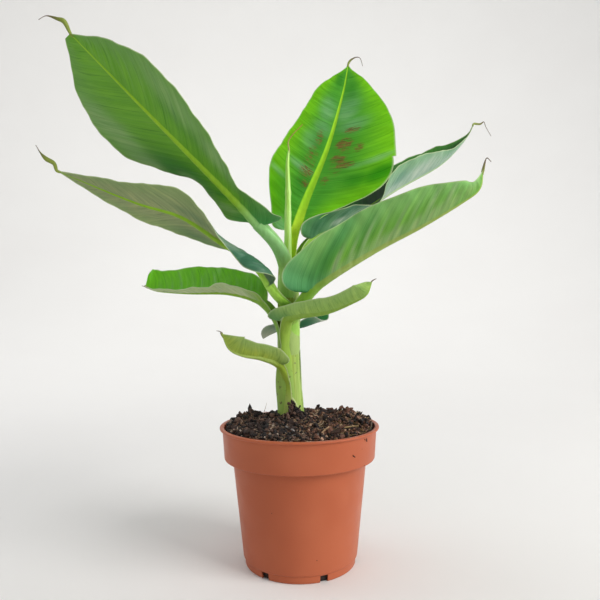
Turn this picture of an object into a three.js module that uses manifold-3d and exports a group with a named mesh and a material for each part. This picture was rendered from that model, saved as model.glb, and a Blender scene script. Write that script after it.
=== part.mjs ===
// A young dwarf banana plant in a thin plastic nursery pot.
// Millimetres, +Z up. The origin is the centre of the pot's flat underside, and -Y is the plant's front.

import * as THREE from 'three';
import { mergeVertices } from 'three/addons/utils/BufferGeometryUtils.js';
import Module from 'manifold-3d';

const wasm = await Module();
wasm.setup();

// The pot, from its underside to its lip
const POT_HEIGHT = 102;
const LIP_RADIUS = 60;
const LIP_HEIGHT = 2;
const BAND_TOP_RADIUS = 57.4;
const BAND_FOOT_RADIUS = 55.9;
const BAND_HEIGHT = 23.5;
const WALL_TOP_RADIUS = 48.8;
const WALL_FOOT_RADIUS = 43;
const FOOT_HEIGHT = 5.5;
const FOOT_RADIUS = 41.3;
const POT_STEP = 0.5;
const POT_WALL = 1.5;
const POT_FACETS = 48;

// Drain notches through the edge of the foot
const NOTCH_COUNT = 6;
const NOTCH_WIDTH = 6;
const NOTCH_HEIGHT = 5;
const NOTCH_DEPTH = 5;
const NOTCH_FIRST_ANGLE = -36.7;

// The potting soil: its level at the wall, its mound round the stem and the heaps that its surface has
const SOIL_LEVEL = 99;
const SOIL_MOUND = 7.5;
const SOIL_MOUND_SPREAD = 45;
const SOIL_HEAPS = [
  { x: 40, y: 20, height: 4.5, spread: 14 },
  { x: -34, y: 26, height: 3.5, spread: 14 },
  { x: 10, y: -30, height: -2, spread: 16 },
];
const SOIL_LUMP = 0.7;
const SOIL_LUMP_SPAN = 3;
const SOIL_RIM_SHARE = 0.8;
const SOIL_RINGS = 6;

// The stem of rolled leaf sheaths: places on its centre line and its radius at each
const STEM_PATH = [
  [-6, 0, 98], [-7, 0, 118], [-8, 0, 140], [-8.8, 0, 162], [-8.8, 0, 184], [-8.8, 0, 206], [-9, 0, 228],
];
const STEM_RADII = [10.6, 9.6, 8.9, 9.4, 10, 9.4, 8];
const STEM_SIDES = 20;
const STEM_ROWS = 22;

// Space kept between neighbouring pieces, and the wider one between two leaves or round the soil
const CLEARANCE = 0.3;
const WIDE_CLEARANCE = 0.5;

// The rolled new leaf and the thread on its tip
const ROLL_PATH = [[-7.6, -1, 226], [-7.3, -1, 251], [-7.1, -1, 280], [-7.3, -1, 300]];
const ROLL_RADII = [3, 2.9, 2.2, 1.4];
const ROLL_THREAD = [[-6.1, -1, 311], [-6.5, -1, 317], [-3, -1, 322.5], [4.5, -1, 330]];
const ROLL_SIDES = 8;
const ROLL_ROWS = 8;
const ROLL_THREAD_ROWS = 12;

// Leaves: rows along the stalk and the blade, which lie closer at the blade's two ends, and the shares of the
// half width at which a cross section bends
const CURVE_STEPS = 400;
const PETIOLE_ROWS = 5;
const BLADE_ROWS = 17;
const END_CROWDING = 0.4;
const ACROSS = [0, 0.14, 0.55, 1];

// A leaf is as thick as a share of its length. The midrib stands below it by a share of the stalk's half width.
const THICKNESS_SHARE = 0.0115;
const LEAST_THICKNESS = 1.3;
const RIB_SHARE = 0.5;
const RIB_TAPER = 0.8;
const NECK_SHARE = 0.6;
const TIP_HALF_WIDTH = 1.1;

// The dry thread that a leaf's tip ends in, rooted a little way back inside the blade
const THREAD_RADII = [0.8, 0.6, 0.5];
const THREAD_SIDES = 5;
const THREAD_ROOT = 4;

// Each leaf leaves the stem towards its heading, in degrees from +X. path is its midrib from inside the stem
// to its tip, and the blade starts at place bladeFrom on it. left and right are half widths at even steps from
// the blade's base to its tip, and petiole is the stalk's half width at its foot and top. The angles are in
// degrees, also at even steps: roll turns the whole blade about its midrib, fold lifts each half from it, and
// sweep slants the cross lines towards the tip. lobe is the share of the blade in which its base rounds out.
const LEAVES = [
  {
    name: 'leaf_upper_left', heading: 206, bladeFrom: 2,
    path: [[-10, -4, 221], [-15, -9, 236], [-26, -15, 251], [-47, -26, 271], [-102, -54, 325],
      [-146, -68, 370]],
    left: [20, 11, 24, 29, 34, 32, 22, 0], right: [5, 14, 16, 31, 44, 43, 28, 4],
    petiole: [7, 5], lobe: 0.06, roll: [22, 25], foldLeft: [10, -5, -5], foldRight: [-15, -5, -5],
    sweep: [-15, 5, 10],
    thread: [[-149.5, -69, 377], [-154, -69, 379], [-161.5, -68, 381.5], [-167, -67, 379.5]],
  },
  {
    name: 'leaf_centre', heading: 80, bladeFrom: 1.3,
    path: [[-5, 6, 224], [-3, 9, 245], [5, 16, 273], [24, 34, 321], [39, 52, 371], [45, 60, 401]],
    left: [14, 29, 38, 37, 34, 28, 20, 0], right: [6, 28, 53, 58, 52, 42, 24, 0],
    petiole: [4, 4], lobe: 0.06, roll: [0, 0], foldLeft: [10, 5], foldRight: [10, 0], sweep: [0, 0],
    thread: [[47, 60, 404], [51.5, 59, 406], [55, 58, 404.5], [57, 57, 397.5]],
  },
  {
    name: 'leaf_right_back', heading: 25, bladeFrom: 1.2,
    path: [[-4, 4, 214], [8, 18, 242], [39, 34, 260], [84, 60, 291], [129, 82, 318], [155, 94, 344],
      [165, 100, 360]],
    left: [8, 22, 28, 28, 27, 22, 12, 0], right: [24, 23, 22, 28, 23, 15, 7, 0],
    petiole: [4, 4], lobe: 0.1, roll: [0, 0], foldLeft: [45, 45], foldRight: [50, 50, 5, 50, 50, 50, 45, 40],
    sweep: [-35, -10, 0, 0],
    thread: [[171, 101, 360], [174.5, 101, 362], [176, 100, 357], [180.5, 99, 348]],
  },
  {
    name: 'leaf_right_front', heading: -18, bladeFrom: 2.7,
    path: [[-6, -5, 172], [-0.5, -10, 184], [7, -14, 196], [20, -20, 211], [54, -34, 230], [84, -48, 245],
      [109, -59, 261], [120, -62, 270], [123, -63, 282]],
    left: [20, 28, 32, 32, 30, 26, 16, 0], right: [29, 32, 31, 29, 28, 22, 13, 0],
    petiole: [5, 4.5], lobe: 0.1, roll: [0, 0], foldLeft: [50, 50, 40], foldRight: [60, 65, 60],
    sweep: [-46, -14, 0, 0, 0, 5, 5, 5],
    thread: [[124, -64, 287.5], [127, -64.5, 285]],
  },
  {
    name: 'leaf_middle_left', heading: 186, bladeFrom: 2.1,
    path: [[-10, -9, 187], [-14, -13, 200], [-21, -18, 221], [-34, -21, 228], [-53, -25, 238], [-83, -29, 255],
      [-115, -35, 266], [-166, -42, 287]],
    left: [26, 23, 20, 24, 24, 16, 8, 0], right: [12, 14, 17, 19, 16, 13, 6, 0],
    petiole: [5, 4], lobe: 0.1, roll: [-40, -10, 10, 35, 40, 40, 40],
    foldLeft: [0, 0], foldRight: [-40, -15, -5, -5, -5], sweep: [0, 0],
    thread: [[-168, -42, 292], [-173, -43, 295], [-177, -43, 299.5], [-180, -43, 304.5]],
  },
  {
    name: 'leaf_lower_left', heading: 160, bladeFrom: 1.7,
    path: [[-13, -5, 174], [-20, -2, 184], [-32, 3, 197], [-55, 14, 202], [-87, 25, 203], [-113, 33, 207],
      [-123, 36, 213], [-126, 37, 222]],
    left: [16, 19, 20, 18, 16, 14, 8, 0], right: [18, 24, 26, 27, 26, 24, 19, 0],
    petiole: [6, 4], lobe: 0.1, roll: [0, 0], foldLeft: [30, 22, 20], foldRight: [50, 50], sweep: [0, 0],
  },
  {
    name: 'leaf_lower_right', heading: -40, bladeFrom: 1.6,
    path: [[-5, -6, 160], [-4, -12, 174], [0, -20, 182], [20, -40, 187], [36, -60, 194], [44, -70, 199],
      [48, -74, 207]],
    left: [10, 13, 15, 15, 14, 12, 8, 0], right: [26, 14, 14, 14, 13, 11, 8, 0],
    petiole: [5, 4], lobe: 0.1, roll: [0, 0], foldLeft: [45, 50, 50], foldRight: [50, 50],
    sweep: [-45, -10, 0, 0],
  },
  {
    name: 'leaf_small_back', heading: 80, bladeFrom: 1.2,
    path: [[-8, 7, 160], [-7, 15, 170], [-4, 30, 177], [1, 50, 178], [6, 72, 174]],
    left: [20, 26, 26, 24, 20, 16, 8, 0], right: [18, 24, 24, 22, 18, 14, 8, 0],
    petiole: [5, 4], lobe: 0.12, roll: [-10, -8], foldLeft: [-5, 0, 10], foldRight: [5, 10], sweep: [0, 0],
  },
  {
    name: 'leaf_small_left', heading: 205, bladeFrom: 1.1,
    path: [[-10, -6, 136], [-15, -12, 148], [-27, -18, 154], [-40, -26, 157], [-49, -31, 162], [-54, -34, 173]],
    left: [16, 14, 13, 13, 14, 14, 12, 0], right: [10, 14, 15, 15, 15, 13, 9, 0],
    petiole: [5, 4], lobe: 0.12, roll: [0, 0], foldLeft: [60, 60], foldRight: [50, 50], sweep: [-50, -10, 0, 0],
  },
];

// The small tear in the right edge of the centre leaf: its inner corner, its size and its turn about Y
const TEAR = { leaf: 'leaf_centre', corner: [75, 22, 312.5], size: 4, length: 30, turn: 20 };

// Leaves whose stalks or lobes pass close by another leaf, which they are cut clear of
const CUT_CLEAR_OF = {
  leaf_right_back: 'leaf_centre',
  leaf_lower_right: 'leaf_right_front',
};

const COLOURS = {
  pot: { color: 0xbe694b, roughness: 0.45 },
  soil: { color: 0x4a3226, roughness: 0.95 },
  stem: { color: 0xa9c45c, roughness: 0.5 },
  leaf: { color: 0x4f9a2e, roughness: 0.45 },
  newLeaf: { color: 0xb9d97a, roughness: 0.5 },
};

const radians = THREE.MathUtils.degToRad;
const vector = (place) => new THREE.Vector3(...place);

// Turns a geometry into a solid that can be joined and cut.
function solidOf(geometry) {
  const plain = geometry.clone();
  plain.deleteAttribute('normal');
  plain.deleteAttribute('uv');
  const merged = mergeVertices(plain, 1e-4);
  return new wasm.Manifold(new wasm.Mesh({
    numProp: 3,
    vertProperties: new Float32Array(merged.attributes.position.array),
    triVerts: new Uint32Array(merged.index.array),
  }));
}

// Turns the largest body of a solid back into a geometry.
function geometryOf(solid) {
  const largest = solid.decompose().reduce((best, body) => (body.volume() > best.volume() ? body : best));
  const mesh = largest.getMesh();
  const geometry = new THREE.BufferGeometry();
  geometry.setAttribute('position', new THREE.BufferAttribute(new Float32Array(mesh.vertProperties), 3));
  geometry.setIndex(new THREE.BufferAttribute(new Uint32Array(mesh.triVerts), 1));
  geometry.computeVertexNormals();
  return geometry;
}

// The value at share u of a smooth line through evenly spaced values.
function along(values, u) {
  const last = values.length - 1;
  const before = 2 * values[0] - values[1];
  const after = 2 * values[last] - values[last - 1];
  const padded = [before, ...values, after];
  const place = THREE.MathUtils.clamp(u, 0, 1) * last;
  const step = Math.min(Math.floor(place), last - 1);
  const f = place - step;
  const [a, b, c, d] = padded.slice(step, step + 4);
  return 0.5 * (2 * b + (c - a) * f + (2 * a - 5 * b + 4 * c - d) * f ** 2 + (3 * b - a - 3 * c + d) * f ** 3);
}

// Joins closed rings of equally many points into one closed skin, with flat ends.
function skin(rings) {
  const count = rings[0].length;
  const positions = rings.flat().flatMap((point) => point.toArray());
  const faces = [];
  for (let row = 0; row < rings.length - 1; row += 1) {
    for (let i = 0; i < count; i += 1) {
      const a = row * count + i;
      const b = row * count + (i + 1) % count;
      faces.push(a, b, a + count, b, b + count, a + count);
    }
  }
  const end = (rings.length - 1) * count;
  for (let i = 0; i < count / 2 - 1; i += 1) {
    const far = count - 1 - i;
    faces.push(i, far, i + 1, i + 1, far, far - 1);
    faces.push(end + i, end + i + 1, end + far, end + i + 1, end + far - 1, end + far);
  }
  const geometry = new THREE.BufferGeometry();
  geometry.setAttribute('position', new THREE.Float32BufferAttribute(positions, 3));
  geometry.setIndex(faces);
  return geometry;
}

// How far a row moves along its curve when a piece is grown by spare: back at the first row, on at the last.
function spareAt(row, rows, spare) {
  if (row === 0) {
    return -spare;
  }
  return row === rows ? spare : 0;
}

// A round limb along a curve, whose radius follows the evenly spaced radii. spare grows it all round.
function limb(path, radii, sides, rows, spare = 0) {
  const curve = new THREE.CatmullRomCurve3(path.map(vector), false, 'catmullrom', 0.5);
  const frames = curve.computeFrenetFrames(rows, false);
  const rings = [];
  for (let row = 0; row <= rows; row += 1) {
    const u = row / rows;
    const centre = curve.getPointAt(u).addScaledVector(frames.tangents[row], spareAt(row, rows, spare));
    const radius = along(radii, u) + spare;
    const ring = [];
    for (let i = 0; i < sides; i += 1) {
      const angle = (2 * Math.PI * i) / sides;
      const offset = frames.normals[row].clone().multiplyScalar(Math.cos(angle));
      offset.addScaledVector(frames.binormals[row], Math.sin(angle));
      ring.push(centre.clone().addScaledVector(offset, radius));
    }
    rings.push(ring);
  }
  return skin(rings);
}

// One cross section of a leaf, as a closed ring from its left edge over the top to its right edge and back.
function leafRing(leaf, centre, tangent, u, petioleShare, thickness, spare) {
  const onBlade = u > 0;
  const heading = radians(leaf.heading);
  const sideways = new THREE.Vector3(-Math.sin(heading), Math.cos(heading), 0);
  const across = sideways.addScaledVector(tangent, -sideways.dot(tangent)).normalize();
  const up = new THREE.Vector3().crossVectors(tangent, across);
  const roll = radians(along(leaf.roll, u));
  const rolledAcross = across.clone().multiplyScalar(Math.cos(roll)).addScaledVector(up, Math.sin(roll));
  const rolledUp = up.multiplyScalar(Math.cos(roll)).addScaledVector(across, -Math.sin(roll));
  const base = Math.min(u / leaf.lobe, 1);
  const rounding = Math.sqrt(1 - (1 - base) ** 2);
  const stalk = THREE.MathUtils.lerp(leaf.petiole[0], leaf.petiole[1], petioleShare);
  const top = [];
  const bottom = [];
  for (const [side, widths, folds] of [[1, leaf.left, leaf.foldLeft], [-1, leaf.right, leaf.foldRight]]) {
    const neck = NECK_SHARE * stalk * (1 - u) + TIP_HALF_WIDTH;
    const blade = Math.max(along(widths, u) * rounding, neck);
    const halfWidth = onBlade ? blade : stalk;
    const slant = onBlade ? Math.tan(radians(along(leaf.sweep, u))) : 0;
    const fold = radians(along(folds, u));
    const outwards = rolledAcross.clone().multiplyScalar(side * Math.cos(fold));
    outwards.addScaledVector(rolledUp, Math.sin(fold));
    const normal = rolledUp.clone().multiplyScalar(Math.cos(fold));
    normal.addScaledVector(rolledAcross, -side * Math.sin(fold));
    for (const share of side > 0 ? [...ACROSS].reverse() : ACROSS.slice(1)) {
      const atEdge = share === 1 ? spare : 0;
      const point = centre.clone().addScaledVector(outwards, share * halfWidth + atEdge);
      point.addScaledVector(tangent, slant * share * halfWidth);
      const facing = share === 0 ? rolledUp : normal;
      const rib = share === 0 ? RIB_SHARE * stalk * (1 - RIB_TAPER * u) : 0;
      top.push(point.clone().addScaledVector(facing, thickness / 2 + spare));
      bottom.push(point.clone().addScaledVector(facing, -thickness / 2 - rib - spare));
    }
  }
  return [...top, ...bottom.reverse()];
}

// A whole leaf: stalk, folded blade with its midrib, and the dry thread on its tip. spare grows it all round.
function leafSolid(leaf, spare = 0) {
  const curve = new THREE.CatmullRomCurve3(leaf.path.map(vector), false, 'catmullrom', 0.5);
  curve.arcLengthDivisions = CURVE_STEPS;
  const lengths = curve.getLengths();
  const length = lengths[CURVE_STEPS];
  const bladeStart = lengths[Math.round((CURVE_STEPS * leaf.bladeFrom) / (leaf.path.length - 1))];
  const thickness = Math.max(THICKNESS_SHARE * length, LEAST_THICKNESS);
  const rings = [];
  for (let row = 0; row < PETIOLE_ROWS; row += 1) {
    const share = row / PETIOLE_ROWS;
    const at = (share * bladeStart) / length;
    const tangent = curve.getTangentAt(at);
    const centre = curve.getPointAt(at).addScaledVector(tangent, row === 0 ? -spare : 0);
    rings.push(leafRing(leaf, centre, tangent, 0, share, thickness, spare));
  }
  for (let row = 0; row <= BLADE_ROWS; row += 1) {
    const share = row / BLADE_ROWS;
    const eased = (1 - Math.cos(Math.PI * share)) / 2;
    const u = THREE.MathUtils.lerp(share, eased, END_CROWDING);
    const at = Math.min((bladeStart + u * (length - bladeStart)) / length, 1);
    rings.push(leafRing(leaf, curve.getPointAt(at), curve.getTangentAt(at), u, 1, thickness, spare));
  }
  const solid = solidOf(skin(rings));
  if (!leaf.thread) {
    return solid;
  }
  const root = curve.getPointAt(1 - THREAD_ROOT / length).toArray();
  const tip = leaf.path[leaf.path.length - 1];
  const rows = 3 * leaf.thread.length + 2;
  const thread = limb([root, tip, ...leaf.thread], THREAD_RADII, THREAD_SIDES, rows, spare);
  return solid.add(solidOf(thread));
}

// Height of the soil's surface at a place: a mound round the stem, broad heaps, and small lumps.
function soilHeight(x, y) {
  const [stemX, stemY] = STEM_PATH[0];
  const mound = SOIL_MOUND * Math.exp(-((x - stemX) ** 2 + (y - stemY) ** 2) / SOIL_MOUND_SPREAD ** 2);
  const heaps = SOIL_HEAPS.reduce((sum, heap) => {
    const away = ((x - heap.x) ** 2 + (y - heap.y) ** 2) / heap.spread ** 2;
    return sum + heap.height * Math.exp(-away);
  }, 0);
  const broad = Math.sin(x / SOIL_LUMP_SPAN + 1) * Math.cos(y / SOIL_LUMP_SPAN);
  const fine = Math.sin((2 * (x - y)) / SOIL_LUMP_SPAN);
  return SOIL_LEVEL + mound + heaps + SOIL_LUMP * (broad + fine / 2);
}

// The pot: one turned cup with a floor, a wide band under its lip, and notches cut through its foot.
function makePot() {
  const bandFoot = POT_HEIGHT - BAND_HEIGHT;
  const lipFoot = POT_HEIGHT - LIP_HEIGHT;
  const profile = [
    [0, 0], [FOOT_RADIUS, 0], [FOOT_RADIUS + POT_STEP, FOOT_HEIGHT], [WALL_FOOT_RADIUS, FOOT_HEIGHT + POT_STEP],
    [WALL_TOP_RADIUS, bandFoot - POT_STEP], [BAND_FOOT_RADIUS, bandFoot], [BAND_TOP_RADIUS, lipFoot],
    [LIP_RADIUS, lipFoot + POT_STEP], [LIP_RADIUS, POT_HEIGHT], [BAND_TOP_RADIUS - POT_WALL, POT_HEIGHT],
    [BAND_FOOT_RADIUS - POT_WALL, bandFoot + POT_WALL],
    [WALL_TOP_RADIUS - POT_WALL, bandFoot + POT_WALL - POT_STEP],
    [FOOT_RADIUS - POT_WALL, POT_WALL], [0, POT_WALL],
  ].map(([radius, z]) => new THREE.Vector2(radius, z));
  const cup = new THREE.LatheGeometry(profile, POT_FACETS).rotateX(Math.PI / 2);
  let pot = solidOf(cup);
  for (let i = 0; i < NOTCH_COUNT; i += 1) {
    const angle = radians(NOTCH_FIRST_ANGLE + (360 * i) / NOTCH_COUNT);
    const notch = new THREE.BoxGeometry(NOTCH_WIDTH, 2 * NOTCH_DEPTH, 2 * NOTCH_HEIGHT);
    notch.translate(0, -FOOT_RADIUS, 0).rotateZ(angle);
    pot = pot.subtract(solidOf(notch));
  }
  return pot;
}

// The soil fills the pot's inside, clear of its wall, and its top face follows soilHeight.
function makeSoil() {
  const inset = POT_WALL + WIDE_CLEARANCE;
  const bandFoot = POT_HEIGHT - BAND_HEIGHT;
  const profile = [
    [0, inset], [FOOT_RADIUS - inset, inset], [WALL_TOP_RADIUS - inset, bandFoot],
    [WALL_TOP_RADIUS - inset, bandFoot + inset], [BAND_FOOT_RADIUS - inset, bandFoot + inset],
  ];
  const rim = THREE.MathUtils.lerp(BAND_FOOT_RADIUS, BAND_TOP_RADIUS, SOIL_RIM_SHARE) - inset;
  for (let ring = 0; ring <= SOIL_RINGS; ring += 1) {
    profile.push([rim * (1 - ring / SOIL_RINGS), POT_HEIGHT]);
  }
  const points = profile.map(([radius, z]) => new THREE.Vector2(radius, z));
  const geometry = new THREE.LatheGeometry(points, POT_FACETS).rotateX(Math.PI / 2);
  const place = geometry.attributes.position;
  for (let i = 0; i < place.count; i += 1) {
    if (place.getZ(i) > SOIL_LEVEL) {
      place.setZ(i, soilHeight(place.getX(i), place.getY(i)));
    }
  }
  return solidOf(geometry);
}

// The rolled new leaf with the thread on its tip. spare grows it all round.
function rolledLeaf(spare = 0) {
  const roll = limb(ROLL_PATH, ROLL_RADII, ROLL_SIDES, ROLL_ROWS, spare);
  const threadPath = [...ROLL_PATH.slice(-2), ...ROLL_THREAD];
  const thread = limb(threadPath, THREAD_RADII, THREAD_SIDES, ROLL_THREAD_ROWS, spare);
  return solidOf(roll).add(solidOf(thread));
}

// The wedge that the tear takes out of its leaf, with its inner corner at the tear's own.
function tearSpace() {
  const wedge = new THREE.CylinderGeometry(TEAR.size, TEAR.size, TEAR.length, 3);
  wedge.rotateY(Math.PI / 2).translate(TEAR.size, 0, 0).rotateY(radians(TEAR.turn)).translate(...TEAR.corner);
  return solidOf(wedge);
}

const pieces = new THREE.Group();

// Adds a solid to the plant as a named mesh of its own colour.
function place(name, solid, look) {
  const mesh = new THREE.Mesh(geometryOf(solid), new THREE.MeshStandardMaterial({ ...look, metalness: 0 }));
  mesh.name = name;
  pieces.add(mesh);
}

const stemSpace = solidOf(limb(STEM_PATH, STEM_RADII, STEM_SIDES, STEM_ROWS, CLEARANCE));
const rollSpace = rolledLeaf(CLEARANCE);

place('pot', makePot(), COLOURS.pot);
place('soil', makeSoil().subtract(stemSpace), COLOURS.soil);
place('stem', solidOf(limb(STEM_PATH, STEM_RADII, STEM_SIDES, STEM_ROWS)), COLOURS.stem);
place('leaf_rolled_new', rolledLeaf().subtract(stemSpace), COLOURS.newLeaf);

for (const leaf of LEAVES) {
  let solid = leafSolid(leaf).subtract(stemSpace).subtract(rollSpace);
  if (leaf.name === TEAR.leaf) {
    solid = solid.subtract(tearSpace());
  }
  if (leaf.name in CUT_CLEAR_OF) {
    const neighbour = LEAVES.find((other) => other.name === CUT_CLEAR_OF[leaf.name]);
    solid = solid.subtract(leafSolid(neighbour, WIDE_CLEARANCE));
  }
  place(leaf.name, solid, COLOURS.leaf);
}

export default pieces;
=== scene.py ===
"""The looks of a young dwarf banana plant in a nursery pot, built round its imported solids."""

import math

import bmesh
import bpy
import numpy as np
from mathutils import Matrix


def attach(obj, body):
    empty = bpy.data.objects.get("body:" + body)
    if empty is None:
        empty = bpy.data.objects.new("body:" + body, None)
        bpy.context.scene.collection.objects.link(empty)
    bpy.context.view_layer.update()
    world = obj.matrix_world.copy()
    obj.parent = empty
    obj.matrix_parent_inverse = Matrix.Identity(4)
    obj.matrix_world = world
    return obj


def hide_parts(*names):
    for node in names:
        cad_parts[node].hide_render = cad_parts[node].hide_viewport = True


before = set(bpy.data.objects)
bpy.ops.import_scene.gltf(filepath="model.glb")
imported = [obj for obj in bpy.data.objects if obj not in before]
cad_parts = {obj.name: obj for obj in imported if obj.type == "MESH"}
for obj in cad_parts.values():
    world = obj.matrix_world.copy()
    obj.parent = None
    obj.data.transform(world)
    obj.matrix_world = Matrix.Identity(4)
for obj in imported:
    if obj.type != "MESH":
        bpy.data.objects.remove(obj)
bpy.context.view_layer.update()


# Pot: a thin nursery pot of terracotta-coloured plastic, moulded in one shot. It has a wide band under a small
# outward lip, a slightly tapered wall, a foot set in by a step, and six drain notches cut up from its edge.

MM = 0.001
POT_HEIGHT = 102
LIP_RADIUS = 60
LIP_FOOT = 100
LIP_SLOPE = 0.3
BAND_TOP_RADIUS = 58
BAND_FOOT_RADIUS = 56.6
BAND_FOOT = 78.5
BAND_SLOPE = 0.5
WALL_TOP_RADIUS = 50.4
WALL_FOOT_RADIUS = 42.8
FOOT_HEIGHT = 5.5
FOOT_RADIUS = 41.3
FOOT_SPLAY = 0.5
FOOT_SLOPE = 0.4
POT_WALL = 1.2
POT_FACETS = 144
SHARP_EDGE = 40
EDGE_RADIUS = 0.9
EDGE_STEPS = 5
NOTCH_COUNT = 6
NOTCH_SIZE = (6, 10, 10)
NOTCH_FIRST_ANGLE = -36.7
MIX_FACTOR, MIX_FIRST, MIX_SECOND, MIX_RESULT = 0, 6, 7, 2


def new_piece(name, points, faces, crease=SHARP_EDGE):
    """A mesh object of points in millimetres, smooth except at edges sharper than crease degrees."""
    mesh = bpy.data.meshes.new(name)
    mesh.from_pydata((np.asarray(points) * MM).tolist(), [], [list(face) for face in faces])
    mesh.update()
    mesh.shade_smooth()
    mesh.set_sharp_from_angle(angle=math.radians(crease))
    piece = bpy.data.objects.new(name, mesh)
    bpy.context.scene.collection.objects.link(piece)
    return piece


def rounded(profile, radius, steps, least=2.1):
    """A profile with its inner corners eased.

    Each corner c becomes the curve (1-t)^2 a + 2t(1-t) c + t^2 b, where a and b lie on the two straight sides,
    radius away from c, or the side's length divided by least away where that is nearer.
    """
    line = np.array(profile, float)
    corner, before, after = line[1:-1], line[:-2], line[2:]
    to_before = before - corner
    to_after = after - corner
    back = np.linalg.norm(to_before, axis=1, keepdims=True)
    on = np.linalg.norm(to_after, axis=1, keepdims=True)
    a = corner + to_before / back * np.minimum(radius, back / least)
    b = corner + to_after / on * np.minimum(radius, on / least)
    t = np.linspace(0, 1, steps)[None, :, None]
    arcs = (1 - t) ** 2 * a[:, None] + 2 * t * (1 - t) * corner[:, None] + t**2 * b[:, None]
    return np.vstack([line[:1], arcs.reshape(-1, 2), line[-1:]])


def round_angles(count):
    """The angles of count equal steps round a circle."""
    return np.arange(count) * 2 * np.pi / count


def rings_round(centres, radii, angle):
    """Level rings of points, each round its own centre: (x + r cos a, y + r sin a, z)."""
    x, y, z = (centres[:, axis, None] for axis in range(3))
    return np.stack(np.broadcast_arrays(x + radii * np.cos(angle), y + radii * np.sin(angle), z), -1)


def ring_quads(rows, columns, closed=True):
    """Quads between neighbouring rows of points numbered row by row, closed round the rows or left open."""
    row, column = np.meshgrid(np.arange(rows - 1), np.arange(columns if closed else columns - 1), indexing="ij")
    here = row * columns
    above = here + columns
    beside = (column + 1) % columns
    return np.stack([here + column, here + beside, above + beside, above + column], -1).reshape(-1, 4)


def faces_to_poles(rows, columns):
    """Quads between closed rings, and a fan of triangles from each end ring to its pole.

    The two poles' points come after the rings' points.
    """
    first = np.arange(columns)
    following = np.roll(first, -1)
    last_ring = (rows - 1) * columns
    pole = np.full(columns, rows * columns)
    faces = ring_quads(rows, columns).tolist()
    faces += np.stack([following, first, pole], -1).tolist()
    faces += np.stack([first + last_ring, following + last_ring, pole + 1], -1).tolist()
    return faces


def turned(profile, facets):
    """Points and faces of a profile of (radius, height) turned round Z.

    The profile starts and ends on the axis, and each of its end rings is drawn together into one pole.
    """
    radius, height = profile[1:-1, :1], profile[1:-1, 1:]
    rings = rings_round(height * (0, 0, 1), radius, round_angles(facets))
    poles = profile[[0, -1], 1:] * (0, 0, 1)
    return np.vstack([rings.reshape(-1, 3), poles]), faces_to_poles(len(radius), facets)


def notch_boxes():
    """All notches as one mesh: a cube stretched to their size, set out to the foot and turned round Z to each."""
    corner = np.array([(x, y, z) for x in (-0.5, 0.5) for y in (-0.5, 0.5) for z in (-0.5, 0.5)])
    sides = np.array([(0, 1, 3, 2), (6, 7, 5, 4), (4, 5, 1, 0), (2, 3, 7, 6), (1, 5, 7, 3), (4, 0, 2, 6)])
    x, y, z = (corner * NOTCH_SIZE - (0, FOOT_RADIUS, 0)).T
    angle = np.radians(NOTCH_FIRST_ANGLE) + round_angles(NOTCH_COUNT)[:, None]
    turned_x = x * np.cos(angle) - y * np.sin(angle)
    turned_y = x * np.sin(angle) + y * np.cos(angle)
    points = np.stack(np.broadcast_arrays(turned_x, turned_y, z), -1).reshape(-1, 3)
    faces = sides + len(corner) * np.arange(NOTCH_COUNT)[:, None, None]
    return new_piece("notches", points, faces.reshape(-1, 4).tolist())


def make_pot():
    """The pot's closed cup with its notches cut out."""
    profile = [
        (0, 0), (FOOT_RADIUS, 0), (FOOT_RADIUS + FOOT_SPLAY, FOOT_HEIGHT),
        (WALL_FOOT_RADIUS, FOOT_HEIGHT + FOOT_SLOPE), (WALL_TOP_RADIUS, BAND_FOOT - BAND_SLOPE),
        (BAND_FOOT_RADIUS, BAND_FOOT), (BAND_TOP_RADIUS, LIP_FOOT),
        (LIP_RADIUS, LIP_FOOT + LIP_SLOPE), (LIP_RADIUS, POT_HEIGHT), (BAND_TOP_RADIUS - POT_WALL, POT_HEIGHT),
        (BAND_FOOT_RADIUS - POT_WALL, BAND_FOOT + POT_WALL),
        (WALL_TOP_RADIUS - POT_WALL, BAND_FOOT + POT_WALL - BAND_SLOPE),
        (FOOT_RADIUS - POT_WALL, POT_WALL), (0, POT_WALL),
    ]  # fmt: skip
    cup = new_piece("pot_shell", *turned(rounded(profile, EDGE_RADIUS, EDGE_STEPS), POT_FACETS))
    cutter = notch_boxes()
    cut = cup.modifiers.new("notches", "BOOLEAN")
    cut.operation = "DIFFERENCE"
    cut.solver = "EXACT"
    cut.object = cutter
    whole = bpy.data.meshes.new_from_object(cup.evaluated_get(bpy.context.evaluated_depsgraph_get()))
    cup.modifiers.clear()
    cup.data = whole
    bpy.data.objects.remove(cutter)
    whole.shade_smooth()
    whole.set_sharp_from_angle(angle=math.radians(SHARP_EDGE))
    return cup


def feed(tree, node, inputs):
    """Gives a node its inputs. Each is linked where its value is a socket, and set otherwise."""
    for key, value in inputs.items():
        if isinstance(value, bpy.types.NodeSocket):
            tree.links.new(value, node.inputs[key])
        else:
            node.inputs[key].default_value = value


def add_node(tree, kind, inputs, **settings):
    """A shader node with its settings and its inputs."""
    node = tree.nodes.new(kind)
    for key, value in settings.items():
        setattr(node, key, value)
    feed(tree, node, inputs)
    return node


def mix_colours(tree, factor, first, second, blend="MIX"):
    """The colour between first and second, or the two blended, as the factor goes from 0 to 1."""
    inputs = {MIX_FACTOR: factor, MIX_FIRST: first, MIX_SECOND: second}
    return add_node(tree, "ShaderNodeMix", inputs, data_type="RGBA", blend_type=blend).outputs[MIX_RESULT]


def spread(tree, value, low, high, to_low=0, to_high=1):
    """Value carried smoothly from the range low to high onto the range to_low to to_high."""
    inputs = {"Value": value, "From Min": low, "From Max": high, "To Min": to_low, "To Max": to_high}
    return add_node(tree, "ShaderNodeMapRange", inputs, interpolation_type="SMOOTHSTEP").outputs["Result"]


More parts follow.
